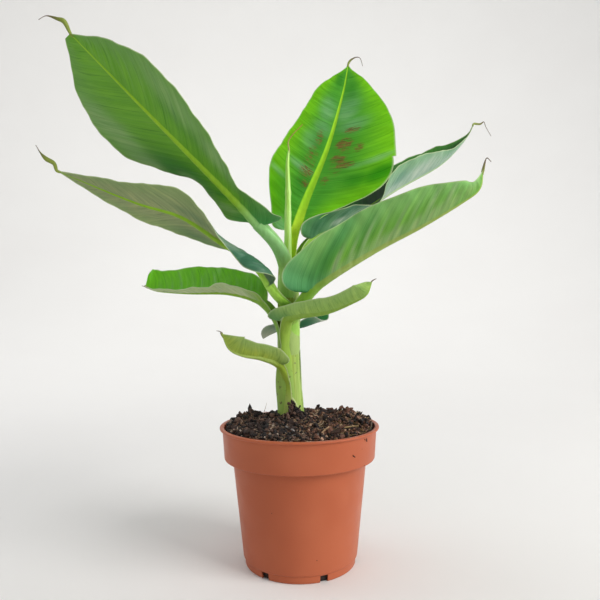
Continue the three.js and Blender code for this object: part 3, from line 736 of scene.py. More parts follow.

# What most leaves have, and then each leaf's own measures, in millimetres and degrees. Lists run from the blade's
# base to its tip, and a mark is described at marks_on. The darkening marks are painted shade, the sheen marks are
# painted highlights of reflected light, and the brown marks are scorched spots.

LEAF_HABIT = dict(
    roll=[0, 0], curl_left=[12], curl_right=[12], sweep_left=[0, 0], sweep_right=[0, 0], waves=0.6, rib=0.62,
    lean=0.1, opening=1.3, opens=10, creases=[], marks=[], thread_size=[0.8, 1.0, 0.9, 0.4, 0.28, 0.2],
    green_to=0.25,
)  # fmt: skip
LEAVES = [
    dict(
        name="leaf_upper_left", heading=206, blade_from=2, around=236, sheath=(190, 221), age=7,
        wrap_left=[110, 95, 85], wrap_right=[110, 90, 75], stalk=7.5,
        path=[(-18, -11, 236), (-30, -16, 251), (-48, -26, 271), (-102, -54, 325), (-146, -68, 370)],
        left=[17, 20, 15, 13, 21, 29, 35, 36, 23, 0], right=[3, 6, 16, 14, 13, 28, 44, 45, 34, 6],
        lobe=0.03, roll=[22, 23, 25], fold_left=[10, -3, -5], fold_right=[-15, -6, -5], curl_left=[-12],
        curl_right=[-12], sweep_left=[-35, -24, -5, 0, 0, 2, 4, 6, 8, 10], sweep_right=[-5, 0, 10],
        rib=0.45, lean=0.8,
        marks=[("dusk", -0.36, 17, 24, 14, 0.8), ("dusk", -0.19, 5, 5, 4, 0.7), ("dusk", 0.12, 10, 10, 9, 0.4),
               ("sheen", 0.30, 17, 22, 7, 0.7), ("sheen", 0.55, 24, 26, 9, 0.6), ("sheen", -0.66, 35, 34, 9, 0.8),
               ("sheen", -0.42, 34, 20, 8, 0.9), ("sheen", -0.26, 16, 14, 5, 0.8), ("dusk", 0.50, 15, 22, 6, 0.3),
               ("sheen", -0.13, 10, 6, 6, 0.6)],
        thread=[(-149.5, -69, 377), (-154, -69, 379), (-161.5, -68, 381.5), (-167, -67, 379.5)],
        thread_size=[0.8, 1.0, 1.6, 1.1, 0.3, 0.2], green_to=0.5,
    ),
    dict(
        name="leaf_centre", heading=80, blade_from=1.3, around=75, sheath=(195, 224), age=8,
        wrap_left=[110, 90, 75], wrap_right=[110, 90, 75], stalk=5, opening=2,
        path=[(-3, 9, 245), (5.8, 16, 273), (24.8, 34, 321), (39, 52, 371), (45, 60, 401)],
        left=[14, 19, 25, 34, 40, 39, 35, 29, 22, 0], right=[6, 11, 19, 33, 52, 59, 54, 46, 28, 0],
        lobe=0.03, fold_left=[10, 5], fold_right=[-12, -8, 2, 3, 0], curl_left=[-8], curl_right=[-8],
        sweep_left=[-36, -26, -10, 0, 0, 0, 0, 0, 0, 0], tip=(0.92, 1.6),
        nick=(0.47, 2.6, 9), rib=0.68, lean=0.15,
        marks=[("brown", -0.42, 14, 28, 9, 0.36), ("brown", 0.36, 10, 30, 8, 0.36), ("sheen", 0.02, 13, 7, 6, 0.9),
               ("brown", -0.50, 13, 6, 7, 1), ("brown", -0.41, 12, 4, 6, 1), ("brown", -0.38, 19, 4, 8, 0.9),
               ("brown", -0.59, 16, 4, 8, 0.6), ("brown", -0.49, 26, 5, 5, 0.6), ("brown", 0.52, 9, 10, 4, 0.5),
               ("brown", 0.43, 11, 6, 4, 0.5), ("brown", 0.31, 9, 5, 7, 0.7), ("brown", 0.24, 6, 6, 4, 0.5),
               ("brown", -0.28, 8, 6, 4, 0.5), ("dusk", -0.37, 49, 9, 14, 1), ("dusk", -0.32, 33, 8, 12, 0.8),
               ("dusk", 0.17, 24, 14, 12, 0.5), ("dusk", 0.90, 5, 8, 4, 0.5), ("dusk", -0.83, 7, 9, 6, 0.4),
               ("dusk", 0.24, 8, 10, 8, 0.5), ("dusk", 0.50, 9, 14, 6, 0.3), ("sheen", -0.71, 8, 14, 9, 0.7),
               ("sheen", -0.62, 16, 8, 12, 0.6), ("sheen", 0.70, 9, 12, 7, 0.7), ("sheen", 0.58, 9, 8, 8, 0.6),
               ("sheen", 0.50, 16, 10, 7, 0.5), ("sheen", 0.33, 16, 4, 11, 0.7), ("sheen", 0.27, 32, 3, 9, 0.6),
               ("sheen", -0.44, 43, 3, 13, 0.6), ("sheen", -0.39, 29, 3, 9, 0.4)],
        thread=[(47, 60, 404), (51.5, 59, 406), (55, 58, 404.5), (57, 57, 397.5)],
    ),
    dict(
        name="leaf_right_back", heading=25, blade_from=1.2, around=40, sheath=(190, 214), age=6,
        wrap_left=[110, 90, 75], wrap_right=[110, 90, 75], stalk=4.5, opening=2,
        path=[(8, 18, 242), (39, 34, 260), (84, 60, 291), (129, 82, 318), (155, 94, 344), (165, 100, 360)],
        left=[4, 8, 16, 24, 28, 28, 27, 25, 15, 0], right=[20, 22, 20, 22, 19, 22, 24, 18, 5, 0],
        lobe=0.08, fold_left=[45, 45], fold_right=[50, 51, 53, 34, 6, 47, 51, 50, 46, 40],
        curl_left=[14], curl_right=[14], sweep_left=[-35, -32, -27, -20, -12, -6, -2, 0, 1, 0],
        sweep_right=[-58, -48, -32, -20, -12, -6, -2, 0, 1, 0], tip=(0.8, 2.0), lean=0.9,
        marks=[("dusk", 0.12, 8, 26, 26, 0.6), ("dusk", 0.34, 10, 26, 26, 0.5), ("dusk", -0.08, 14, 9, 14, 0.8),
               ("dusk", -0.19, 18, 9, 10, 0.8), ("sheen", -0.13, 8, 6, 3, 0.7),
               ("dusk", -0.47, 12, 9, 6, 0.5), ("sheen", -0.62, 10, 20, 8, 0.6), ("sheen", -0.40, 4, 16, 4, 0.6),
               ("dusk", -0.80, 12, 14, 6, 0.4)],
        thread=[(171, 101, 360), (174.5, 101, 362), (176, 100, 357), (180.5, 99, 348)],
    ),
    dict(
        name="leaf_right_front", heading=-18, blade_from=2.7, around=-50, sheath=(150, 178), age=4,
        wrap_left=[130, 100, 80], wrap_right=[130, 100, 75], stalk=9,
        path=[(0, -12, 183.5), (6, -16, 194.5), (18, -22, 208), (54, -34, 230), (84, -48, 245), (110, -59, 260),
              (120, -62, 268), (122, -63, 280)],
        left=[18, 20, 23, 26, 28, 28, 27, 23, 13, 0], right=[29, 30, 30, 32, 31, 31, 29, 25, 15, 0],
        lobe=0.1, fold_left=[50, 50, 40], fold_right=[60, 65, 60], curl_left=[14], curl_right=[14],
        sweep_left=[-43, -36, -21, -7, 0, 0, 0, 4, 5, 5], sweep_right=[-43, -36, -21, -7, 0, 0, 0, 4, 5, 5],
        creases=[0.14, 0.20, 0.27, 0.31, 0.41, 0.45, 0.55, 0.63, 0.71], rib=0.5, lean=1.1,
        marks=[("dusk", -0.22, 20, 11, 14, 0.8), ("dusk", -0.36, 16, 9, 10, 0.5), ("sheen", -0.52, 4, 62, 5, 0.6),
               ("sheen", -0.17, 8, 3, 8, 0.8), ("sheen", -0.25, 8, 2, 9, 0.6), ("sheen", -0.33, 10, 2.5, 11, 0.7),
               ("sheen", -0.41, 9, 1.6, 10, 0.6), ("sheen", -0.50, 9, 2, 10, 0.7), ("sheen", -0.58, 9, 2, 9, 0.6),
               ("sheen", -0.67, 9, 3, 9, 0.7), ("sheen", -0.77, 8, 3, 9, 0.6)],
        thread=[(124, -64, 287.5), (127, -64.5, 285)],
    ),
    dict(
        name="leaf_middle_left", heading=186, blade_from=1.4, around=248, sheath=(160, 190), age=5,
        wrap_left=[120, 85, 65], wrap_right=[120, 90, 75], stalk=8, opens=3,
        path=[(-18, -17, 200), (-28, -21, 217), (-39, -23, 227.5), (-54, -27, 237), (-83, -29, 256),
              (-115, -35, 266), (-166, -42, 287)],
        left=[8, 16, 25, 19, 12, 17, 24, 17, 9, 0], right=[6, 7, 6, 3, 8, 14, 16, 12, 7, 0],
        lobe=0.03, roll=[0, 0, 0, 10, 25, 38, 40, 40, 40, 40], fold_left=[75, 30, -15, -32, -10, 5, 0, 0, 0, 0],
        fold_right=[75, 70, 45, 0, -10, -7, -4, -5, -5, -5],
        curl_left=[-40, -140, -180, -190, -110, -30, -10, -10, -10, -10], curl_right=[-10],
        rib=0.34, lean=1.6,
        marks=[("sheen", 0.30, 12, 16, 5, 0.6), ("dusk", -0.35, 9, 22, 6, 0.5), ("dusk", 0.42, 6, 16, 3, 0.4)],
        thread=[(-168, -42, 292), (-173, -43, 295), (-177, -43, 299.5), (-180, -43, 304.5)],
        thread_size=[0.8, 1.2, 1.5, 1.6, 0.5, 0.2], green_to=0.6,
    ),
    dict(
        name="leaf_lower_left", heading=160, blade_from=1.7, around=200, sheath=(140, 173), age=3,
        wrap_left=[60, 55, 50], wrap_right=[130, 100, 70], stalk=7,
        path=[(-20, -2, 184), (-31, 3, 196), (-55, 14, 202.5), (-87, 25, 203), (-112, 33, 204.5), (-121, 36, 206.5),
              (-126, 37, 209)],
        left=[11, 14, 18, 21, 20, 13, 12, 8, 7, 4], right=[9, 12, 18, 24, 26, 28, 30, 29, 24, 17], tip=(0.96, 0.35),
        lobe=0.08, fold_left=[30, 22, 20], fold_right=[50, 50],
        sweep_left=[-10, 0, 0, 0], sweep_right=[0, 0, 0, 0, 0, 0, 0, 4, 14, 30],
        thread=[(-127, 37, 209), (-129, 37, 209.5)],
    ),
    dict(
        name="leaf_lower_right", heading=-40, blade_from=2, around=-92, sheath=(99, 163), age=2,
        wrap_left=[150, 120, 105, 85], wrap_right=[150, 110, 75, 40], stalk=6, opening=1.5,
        path=[(-8.5, -12, 172), (-6, -18, 182), (3, -26, 185), (20, -40, 187.5), (36, -60, 194), (44, -70, 199),
              (47, -73, 207)],
        left=[6, 8, 10, 12, 13, 14, 13, 12, 10, 8], right=[5, 10, 12, 13, 14, 14, 12, 11, 11, 11], tip=(0.93, 0.6),
        lobe=0.04, fold_left=[45, 48, 50], fold_right=[60, 60, 55, 52, 50, 50, 50, 50, 50, 50],
        sweep_left=[-30, -20, -10, -5, 0, 0, 0, 0, 0, 0],
        sweep_right=[-46, -61, -42, -21, -10, -5, -2, 0, 1, 0], waves=0.3, opens=3,
        thread=[(48, -73.5, 208), (50, -74, 209)], thread_size=[0.5, 0.5, 0.35, 0.2],
    ),
    dict(
        name="leaf_small_back", heading=80, blade_from=1.2, around=85, sheath=(115, 158), age=1,
        wrap_left=[120, 100, 80], wrap_right=[120, 100, 80], stalk=4.6, opening=1.8,
        path=[(-7, 15, 170), (-4, 30, 177), (1, 50, 178), (6, 72, 174)],
        left=[9, 15, 26, 28, 26, 24, 21, 17, 9, 0], right=[18, 24, 27, 31, 29, 25, 20, 15, 9, 0],
        lobe=0.05, roll=[-10, -8], fold_left=[-35, -30, -20, -12, -5, 0, 5, 8, 10, 10],
        fold_right=[-74, -66, -14, 6, 12, 14, 12, 8, 5, 0], curl_left=[-10],
        curl_right=[-10], waves=0.8, thread=[(6.5, 73.5, 173.5), (7, 75, 174)],
        marks=[("dusk", -0.06, 12, 16, 12, 0.9)],
    ),
    dict(
        name="leaf_small_left", heading=205, blade_from=1.1, around=238, sheath=(99, 137), age=0,
        wrap_left=[125, 52, 42, 40], wrap_right=[150, 120, 95, 80], stalk=5.2, opening=1.6,
        path=[(-15, -12, 148), (-27, -18, 154), (-40, -26, 157), (-49, -31, 162), (-54, -34, 173)],
        left=[9, 10, 11, 13, 13, 13, 14, 14, 14, 0], right=[4, 6, 9, 12, 12, 12, 12, 12, 9, 0],
        lobe=0.08, fold_left=[60, 60], fold_right=[50, 50],
        sweep_left=[-40, -38, -32, -22, -12, -5, -2, 0, 1, 0], sweep_right=[-8, -8, -8, -6, -4, -2, 0, 0, 0, 0],
        waves=0.4, thread=[(-55, -34.5, 174.5), (-57.5, -35, 175)],
    ),
]  # fmt: skip


def unit(vectors):
    """Vectors of length one."""
    return vectors / np.linalg.norm(vectors, axis=-1, keepdims=True)


def smooth_step(x):
    """0 below 0, 1 above 1, and 3x^2 - 2x^3 between."""
    x = np.clip(x, 0, 1)
    return x * x * (3 - 2 * x)


def on_blade(values, u):
    """A blade list read at the shares u. Its values stand at (k/n)^1.5, so closer together near the base."""
    return values_along(values * 2 if len(values) == 1 else values, np.asarray(u) ** (1 / STATION_CROWDING))


def sheath_depth(leaf, height):
    """How deep a sheath's outside lies in the stem: by its age, and sinking in towards its foot."""
    low, top = leaf["sheath"]
    up = np.clip((height - low) / (top - low), 0, 1)
    return SHEATH_LAYER * leaf["age"] + SHEATH_SINK * (1 - up) ** 3 * (low > 100)


def leaf_line(leaf):
    """The midrib's line: up the outside of the stem at one angle, then through the leaf's own path.

    Gives the rows' centres and their distances along the line, evenly spaced on the stalk and on the blade, with
    the distances at which the blade starts and the sheath leaves the stem.
    """
    heights = np.linspace(*leaf["sheath"], SHEATH_POINTS)
    centre, radius = stem_at(heights)
    around = math.radians(leaf["around"])
    outwards = np.array([math.cos(around), math.sin(around), 0])
    on_stem = centre + outwards * (radius - sheath_depth(leaf, heights))[:, None]
    points = np.vstack([on_stem, leaf["path"]])
    places = np.linspace(0, len(points) - 1, LINE_POINTS)
    line = smooth_line(points, places)
    run = np.concatenate([[0], np.cumsum(np.linalg.norm(np.diff(line, axis=0), axis=1))])
    leaves_stem = np.interp(SHEATH_POINTS - 1, places, run)
    start = np.interp(leaf["blade_from"] + SHEATH_POINTS - 1, places, run)
    stalk = np.linspace(0, start, int(start / STALK_STEP))
    blade = np.linspace(start, run[-1], int((run[-1] - start) / BLADE_STEP))
    distance = np.concatenate([stalk[:-1], blade])
    rows = np.stack([np.interp(distance, run, line[:, k]) for k in range(3)], -1)
    return rows, distance, start, leaves_stem


def leaf_frames(leaf, rows, distance, start):
    """Unit vectors along, across and up at each row. Across starts level, at right angles to the heading."""
    forwards = unit(np.gradient(rows, axis=0))
    turn = smooth_step(distance / start)
    heading = np.radians(leaf["around"] + (leaf["heading"] - leaf["around"]) * turn)
    level = np.stack([-np.sin(heading), np.cos(heading), 0 * heading], -1)
    across = unit(level - (level * forwards).sum(-1, keepdims=True) * forwards)
    up = np.cross(forwards, across)
    u = np.clip((distance - start) / (distance[-1] - start), 0, 1)
    roll = (np.radians(on_blade(leaf["roll"], u)) * np.clip(distance / start, 0, 1) ** 4)[:, None]
    return forwards, across * np.cos(roll) + up * np.sin(roll), up * np.cos(roll) - across * np.sin(roll)


def half_widths(leaf, side, distance, start, leaves_stem):
    """Each row's share of the blade and of the stalk, half width, wrap angle and the midrib's half width."""
    name = "left" if side > 0 else "right"
    u = np.clip((distance - start) / (distance[-1] - start), 0, 1)
    free = np.clip((distance - leaves_stem) / (start - leaves_stem), 0, 1)
    height = np.interp(distance, [0, leaves_stem], leaf["sheath"])
    radius = stem_at(height)[1] - sheath_depth(leaf, height)
    wrap = np.radians(values_along(leaf["wrap_" + name], np.clip(distance / leaves_stem, 0, 1)))
    stalk = leaf["stalk"] + (wrap * radius - leaf["stalk"]) * (1 - free) ** leaf["opening"]
    rounding = np.sqrt(1 - (1 - np.minimum(u / leaf["lobe"], 1)) ** 2)
    widths = np.maximum(on_blade(leaf[name], u), 0)
    if "tip" in leaf:
        where, power = leaf["tip"]
        held = np.interp(where, u, widths)
        widths = np.where(u > where, held * np.clip((1 - u) / (1 - where), 0, 1) ** power, widths)
    if "nick" in leaf and side < 0:
        where, depth, length = leaf["nick"]
        before = (where - u) * (distance[-1] - start)
        widths = widths - depth * np.exp(-np.maximum(before, 0) / length) * (before > 0)
    neck = NECK_SHARE * leaf["stalk"] * (1 - u) + TIP_HALF_WIDTH
    blade = np.maximum(widths * rounding, neck)
    join = np.clip((distance - start) / NECK_LENGTH, 0, 1)
    width = np.where(u > 0, blade * join + np.maximum(stalk, blade) * (1 - join), stalk)
    channel = wrap * (1 - smooth_step(free)) + math.radians(CHANNEL_TURN) * smooth_step(free)
    rib = np.minimum(leaf["stalk"] * (1 - RIB_TAPER * u) ** RIB_FALL * leaf["rib"], RIB_WIDEST * width)
    return u, free, width, channel, rib


def half_leaf(leaf, side, distance, start, leaves_stem, random):
    """One half of a leaf's cross sections, from the midrib outwards.

    At each row the half bends up from the across direction by the angle a(s) = fold + curl (s/w - 1/2), eased in
    over the midrib, and its offsets are the running sums of cos a and sin a times the step. On the sheath the fold
    and curl are those of a circle round the stem, wrap (s/w). Side veins ripple it, and its edge runs in waves.
    """
    name = "left" if side > 0 else "right"
    u, free, width, channel, rib = half_widths(leaf, side, distance, start, leaves_stem)
    ease = np.linspace(0, 1, BLADE_COLUMNS + 1)[1:]
    inner = rib[:, None] * np.array([0, *RIB_COLUMNS])
    outer = inner[:, -1:] + (width[:, None] - inner[:, -1:]) * ease * (1 + COLUMN_CROWDING - COLUMN_CROWDING * ease)
    s = np.hstack([inner, outer])
    share = s / width[:, None]

    opened = smooth_step((distance - start) / leaf["opens"])
    fold = channel / 2 * (1 - opened) + np.radians(on_blade(leaf["fold_" + name], u)) * opened
    curl = channel * (1 - opened) + np.radians(on_blade(leaf["curl_" + name], u)) * opened
    angle = fold[:, None] + curl[:, None] * (share - 0.5)
    eased = smooth_step(s / (RIB_COLUMNS[-1] * rib[:, None]))
    angle = angle * (1 + (eased - 1) * opened[:, None])

    step = np.diff(s, axis=1)
    middle = (angle[:, 1:] + angle[:, :-1]) / 2
    nothing = np.zeros((len(s), 1))
    out = np.hstack([nothing, np.cumsum(np.cos(middle) * step, axis=1)])
    rise = np.hstack([nothing, np.cumsum(np.sin(middle) * step, axis=1)])
    slant = np.tan(np.radians(on_blade(leaf["sweep_" + name], u))) * (u > 0)
    ahead = slant[:, None] * s

    vein = (distance - start)[:, None] - leaf["lean"] * s
    vein = vein - VEIN_CURVE * share**2 * width[:, None] + ahead * VEIN_SWEEP
    ripple = np.zeros_like(s)
    for wavelength in VEIN_LENGTHS:
        ripple += wavelength * np.sin(2 * np.pi * vein / wavelength + random.uniform(0, 7))
    strength = VEIN_HEIGHT * np.clip(share * 5, 0, 1) * np.clip((1.05 - share) * 2, 0.25, 1)
    broad = share**3 * np.sin(2 * np.pi * (distance[:, None] / WAVE_LENGTH) + random.uniform(0, 7))
    frill = np.sin(2 * np.pi * (distance[:, None] / FRILL_LENGTH) + random.uniform(0, 7))
    broad += FRILL_SHARE * share**2 * frill
    crease = np.zeros_like(s)
    for at in leaf["creases"]:
        line = (u * (distance[-1] - start))[:, None] - at * (distance[-1] - start) - CREASE_SLANT * s
        reach = random.uniform(*CREASE_REACH)
        ridge = random.uniform(*CREASE_STRENGTH) * np.exp(-((line / CREASE_WIDTH) ** 2))
        crease += ridge * np.clip(s / 3, 0, 1) * smooth_step((reach - share) * 4)
    crease = crease * (side < 0)
    fade = opened[:, None] * np.clip(width[:, None] / FULL_WIDTH, 0, 1)
    lift = (ripple * strength + leaf["waves"] * broad) * fade + CREASE_LIFT * crease
    return dict(
        side=side, u=u, free=free, out=out, rise=rise, ahead=ahead, s=s, angle=angle, lift=lift, rib=rib[:, None],
        width=width[:, None], share=share, vein=vein, crease=crease,
    )  # fmt: skip


def leaf_sheet(leaf, seed):
    """The upper face of both halves: points and normals by rows and columns, with each half's own measures."""
    random = np.random.default_rng(seed)
    rows, distance, start, leaves_stem = leaf_line(leaf)
    forwards, across, up = leaf_frames(leaf, rows, distance, start)
    halves = []
    for side in (1, -1):
        half = half_leaf(leaf, side, distance, start, leaves_stem, random)
        facing = half["angle"] * np.clip(half["s"] / (1.2 * half["rib"]), 0, 1)
        sideways = across[:, None] * side
        half["normal"] = up[:, None] * np.cos(facing)[..., None] - sideways * np.sin(facing)[..., None]
        sheet = rows[:, None] + sideways * half["out"][..., None] + up[:, None] * half["rise"][..., None]
        sheet = sheet + forwards[:, None] * half["ahead"][..., None]
        half["sheet"] = sheet + half["normal"] * half["lift"][..., None]
        halves.append(half)
    return halves, rows, forwards, distance, start


def marks_on(leaf, half, kind):
    """How strongly a kind of mark shows: the greatest of its bell shapes, k exp(-((v/a)^2 + (s/b)^2)^1.5).

    A mark is (kind, u, s, a, b, k): its place, with u below 0 on the right half, its half sizes along the midrib
    and along the side veins, and its strength. Here v and s are measured from the mark's own place. The darkening
    kind is painted shade, and the sheen kind is a painted highlight of reflected light.
    """
    total = np.zeros_like(half["s"])
    for what, place, out, along, across, strength in leaf["marks"]:
        if what == kind and (place < 0) == (half["side"] < 0):
            row = np.searchsorted(half["u"], abs(place))
            middle = np.interp(out, half["s"][row], half["vein"][row])
            apart = ((half["vein"] - middle) / along) ** 2 + ((half["s"] - out) / across) ** 2
            total = np.maximum(total, strength * np.exp(-(apart**1.5)))
    return total


def half_skin(leaf, half):
    """A half's upper face, its underside and the values that its points keep.

    The underside lies a thickness below, and bulges by sqrt(1 - (s/span)^2) under the midrib or the stalk.
    """
    s, rib, width, normal = half["s"], half["rib"], half["width"], half["normal"]
    blade = half["u"][:, None] > 0
    free = half["free"][:, None]
    stalk_middle = SHEATH_THICKNESS + (STALK_THICKNESS - SHEATH_THICKNESS) * free
    middle = np.where(blade, STALK_THICKNESS * (1 - RIB_TAPER * half["u"][:, None]), stalk_middle)
    edge = np.where(blade, BLADE_THICKNESS, SHEATH_MARGIN)
    span = np.where(blade, rib, width * (1 - STALK_ROUNDING * free))
    bulge = np.sqrt(np.clip(1 - (s / span) ** 2, 0, 1))
    groove = RIB_GROOVE * rib * np.clip(1 - (s / rib) ** 2, 0, 1) * blade
    skin = {
        "upper": half["sheet"] - normal * groove[..., None],
        "lower": half["sheet"] - normal * (edge + np.maximum(middle - edge, 0) * bulge)[..., None],
        "rib": np.where(blade, np.clip((RIB_SHOWS - s / rib) / RIB_SOFTNESS, 0, 1), 1),
        "edge": np.clip(1 - (width - s) / PALE_EDGE, 0, 1),
        "outer": half["share"],
        "vein": half["vein"],
        "crease": half["crease"],
    }
    # Brown marks are scorched spots; the darkening marks are painted shade and the sheen marks a painted highlight.
    for kind in ("brown", "dusk", "sheen"):
        skin[kind] = marks_on(leaf, half, kind)
    return skin


def make_leaf(leaf, seed):
    """A leaf's closed skin from edge to edge, with its tip's place and direction."""
    halves, rows, forwards, distance, start = leaf_sheet(leaf, seed)
    left_skin, right_skin = (half_skin(leaf, half) for half in halves)
    skin = {name: np.concatenate([left_skin[name][:, ::-1], right_skin[name][:, 1:]], axis=1) for name in left_skin}
    upper, lower = skin.pop("upper"), skin.pop("lower")
    count, columns = upper.shape[:2]
    below = count * columns
    top_faces = ring_quads(count, columns, closed=False)
    i = np.arange(count - 1) * columns
    left = np.stack([i, i + columns, i + columns + below, i + below], -1)
    right = (left + columns - 1)[:, ::-1]
    j = np.arange(columns - 1)
    foot = np.stack([j, j + below, j + 1 + below, j + 1], -1)
    tip = (foot + (count - 1) * columns)[:, ::-1]
    points = np.concatenate([upper.reshape(-1, 3), lower.reshape(-1, 3)])
    faces = np.concatenate([top_faces, top_faces[:, ::-1] + below, left, right, foot, tip])
    piece = new_piece(leaf["name"] + "_fine", points, faces, crease=BLADE_CREASE)

    u = halves[0]["u"]
    skin["along"] = np.tile(np.where(u > 0, u, distance / start - 1)[:, None], columns)
    for name, values in skin.items():
        keep_values(piece, name, np.tile(values.ravel(), 2))
    keep_values(piece, "under", np.repeat([0, 1], below))
    return piece, rows[-1], forwards[-1]


PLAIN_LEAF = dict(
    Upper=(0.060, 0.235, 0.035), Upper_Outer=(0.085, 0.31, 0.025), Under=(0.165, 0.325, 0.060),
    Under_Outer=(0.15, 0.33, 0.055), Rib=(0.27, 0.50, 0.03), Rib_Under=(0.24, 0.46, 0.02),
    Stalk=(0.22, 0.43, 0.04), Sheath=(0.33, 0.48, 0.10), Base=(0.085, 0.27, 0.09), Edge=(0.50, 0.60, 0.33),
    Sheen=(0.24, 0.47, 0.26),
)  # fmt: skip
# Tint that the darkening marks multiply in: painted shade.
PAINTED_SHADE_TINT = (0.24, 0.55, 0.55, 1)
DARK_TINT = (0.60, 0.70, 0.62, 1)
DEEP_TINT = (0.42, 0.58, 0.45, 1)
LIGHT_TINT = (1.30, 1.16, 1.15, 1)
STREAK_TINT = (0.80, 0.86, 0.7, 1)
SCORCHED, BURNT = (0.24, 0.11, 0.04, 1), (0.08, 0.07, 0.02, 1)
CREASE_COLOUR = (0.46, 0.56, 0.24, 1)


def tinted(tree, colour, tint):
    """A colour multiplied by a tint."""
    return mix_colours(tree, 1.0, colour, tint, "MULTIPLY")


def work_out(tree, operation, *values):
    """The result of a Math node on values or sockets, kept from 0 to 1."""
    inputs = dict(enumerate(values))
    return add_node(tree, "ShaderNodeMath", inputs, operation=operation, use_clamp=True).outputs[0]


def product(tree, first, second):
    """The product of two values."""
    return work_out(tree, "MULTIPLY", first, second)


def blade_group():
    """The shader group of all leaves: colour, roughness and height from where a point lies on the leaf.

    Patterns run along the side veins, because they read the points' own vein number and share of the width.
    """
    group = bpy.data.node_groups.new("banana_blade", "ShaderNodeTree")
    sockets = [(name.replace("_", " "), "INPUT", "NodeSocketColor") for name in PLAIN_LEAF]
    sockets += [("Base Reach", "INPUT", "NodeSocketFloat"), ("Color", "OUTPUT", "NodeSocketColor")]
    sockets += [("Roughness", "OUTPUT", "NodeSocketFloat"), ("Height", "OUTPUT", "NodeSocketFloat")]
    for name, way, kind in sockets:
        group.interface.new_socket(name, in_out=way, socket_type=kind)
    given = group.nodes.new("NodeGroupInput").outputs
    place = group.nodes.new("ShaderNodeTexCoord").outputs["Object"]

    under, rib, edge = kept(group, "under"), kept(group, "rib"), kept(group, "edge")
    outer, along, vein = kept(group, "outer"), kept(group, "along"), kept(group, "vein")
    cloud = noise(group, place, 45, 3)
    by_vein = add_node(group, "ShaderNodeCombineXYZ", {"X": vein, "Y": outer, "Z": under}).outputs["Vector"]
    stripes = noise(group, scaled(group, by_vein, (1.1, 0.9, 1)), 1, 3, 0.7)
    bands = noise(group, scaled(group, by_vein, (0.17, 1.6, 1)), 1, 2, 0.5)
    fine = noise(group, scaled(group, by_vein, (0.62, 0.8, 1)), 1, 4, 0.75)
    ragged = noise(group, scaled(group, by_vein, (0.8, 9, 1)), 1, 4, 0.75)
    grain = noise(group, scaled(group, by_vein, (3.2, 0.6, 1)), 1, 2, 0.6)
    streaks = noise(group, scaled(group, place, (350, 350, 30)), 1, 2)

    outwards = spread(group, outer, 0.25, 0.95)
    upper = mix_colours(group, outwards, given["Upper"], given["Upper Outer"])
    lower = mix_colours(group, outwards, given["Under"], given["Under Outer"])
    colour = mix_colours(group, under, upper, lower)
    base = product(group, spread(group, along, 0.0, given["Base Reach"], 1, 0), 0.85)
    colour = mix_colours(group, base, colour, given["Base"])

    # Painted shade from the darkening marks, then a painted highlight from the sheen marks, broken up by the bands.
    colour = mix_colours(group, kept(group, "dusk"), colour, tinted(group, colour, PAINTED_SHADE_TINT))
    soft = product(group, kept(group, "sheen"), spread(group, bands, 0.25, 0.6, 0.55, 1))
    colour = mix_colours(group, product(group, soft, 0.7), colour, given["Sheen"])
    dark = tinted(group, colour, DARK_TINT)
    colour = mix_colours(group, spread(group, stripes, 0.35, 0.7, 0, 0.6), colour, dark)
    light = tinted(group, colour, LIGHT_TINT)
    colour = mix_colours(group, spread(group, bands, 0.45, 0.72, 0, 0.75), colour, light)
    colour = mix_colours(group, spread(group, cloud, 0.3, 0.7, 0, 0.25), colour, dark)
    deep = tinted(group, colour, DEEP_TINT)
    colour = mix_colours(group, spread(group, fine, 0.54, 0.68, 0, 0.7), colour, deep)
    colour = mix_colours(group, spread(group, fine, 0.42, 0.30, 0, 0.5), colour, light)

    spots = product(group, kept(group, "brown"), spread(group, ragged, 0.36, 0.60, 0, 1.3))
    scorched = mix_colours(group, spread(group, stripes, 0.4, 0.6), SCORCHED, BURNT)
    colour = mix_colours(group, spread(group, spots, 0.18, 0.60, 0, 0.85), colour, scorched)

    rib_colour = mix_colours(group, under, given["Rib"], given["Rib Under"])
    rib_colour = mix_colours(group, spread(group, along, 0.16, -0.02), rib_colour, given["Stalk"])
    rib_colour = mix_colours(group, spread(group, along, -0.35, -0.6), rib_colour, given["Sheath"])
    streaked = tinted(group, rib_colour, STREAK_TINT)
    rib_colour = mix_colours(group, spread(group, streaks, 0.4, 0.65, 0, 0.6), rib_colour, streaked)
    colour = mix_colours(group, rib, colour, rib_colour)

    height = add_node(group, "ShaderNodeSeparateXYZ", {"Vector": place}).outputs["Z"]
    low_down = product(group, spread(group, height, 0.150, 0.135), spread(group, along, 0.02, -0.02))
    specks = spread(group, noise(group, place, 320, 2, 0.5), 0.62, 0.70, 0, 0.8)
    colour = mix_colours(group, product(group, low_down, specks), colour, FLECK_BROWN)
    colour = mix_colours(group, product(group, kept(group, "crease"), 0.6), colour, CREASE_COLOUR)
    colour = mix_colours(group, product(group, edge, 0.75), colour, given["Edge"])

    rough = spread(group, under, 0, 1, 0.34, 0.5)
    rough = work_out(group, "ADD", rough, spread(group, cloud, 0.3, 0.7, -0.04, 0.05))
    add_node(group, "NodeGroupOutput", {"Color": colour, "Roughness": rough, "Height": grain})
    return group


BLADE_GROUP = blade_group()


def leaf_material(name, base_reach=0.15, gloss=0.3, **colours):
    """One leaf's finish: the shared blade group with the leaf's own colours."""
    material, tree, shader, _ = start_material(name)
    inputs = {key.replace("_", " "): (*colour, 1) for key, colour in (PLAIN_LEAF | colours).items()}
    inputs["Base Reach"] = base_reach
    blade = add_node(tree, "ShaderNodeGroup", inputs, node_tree=BLADE_GROUP).outputs
    looks = {
        "Base Color": blade["Color"],
        "Roughness": blade["Roughness"],
        "Specular IOR Level": gloss,
        "Normal": relief(tree, blade["Height"], 0.35, 0.0004),
    }
    feed(tree, shader, looks)
    return material


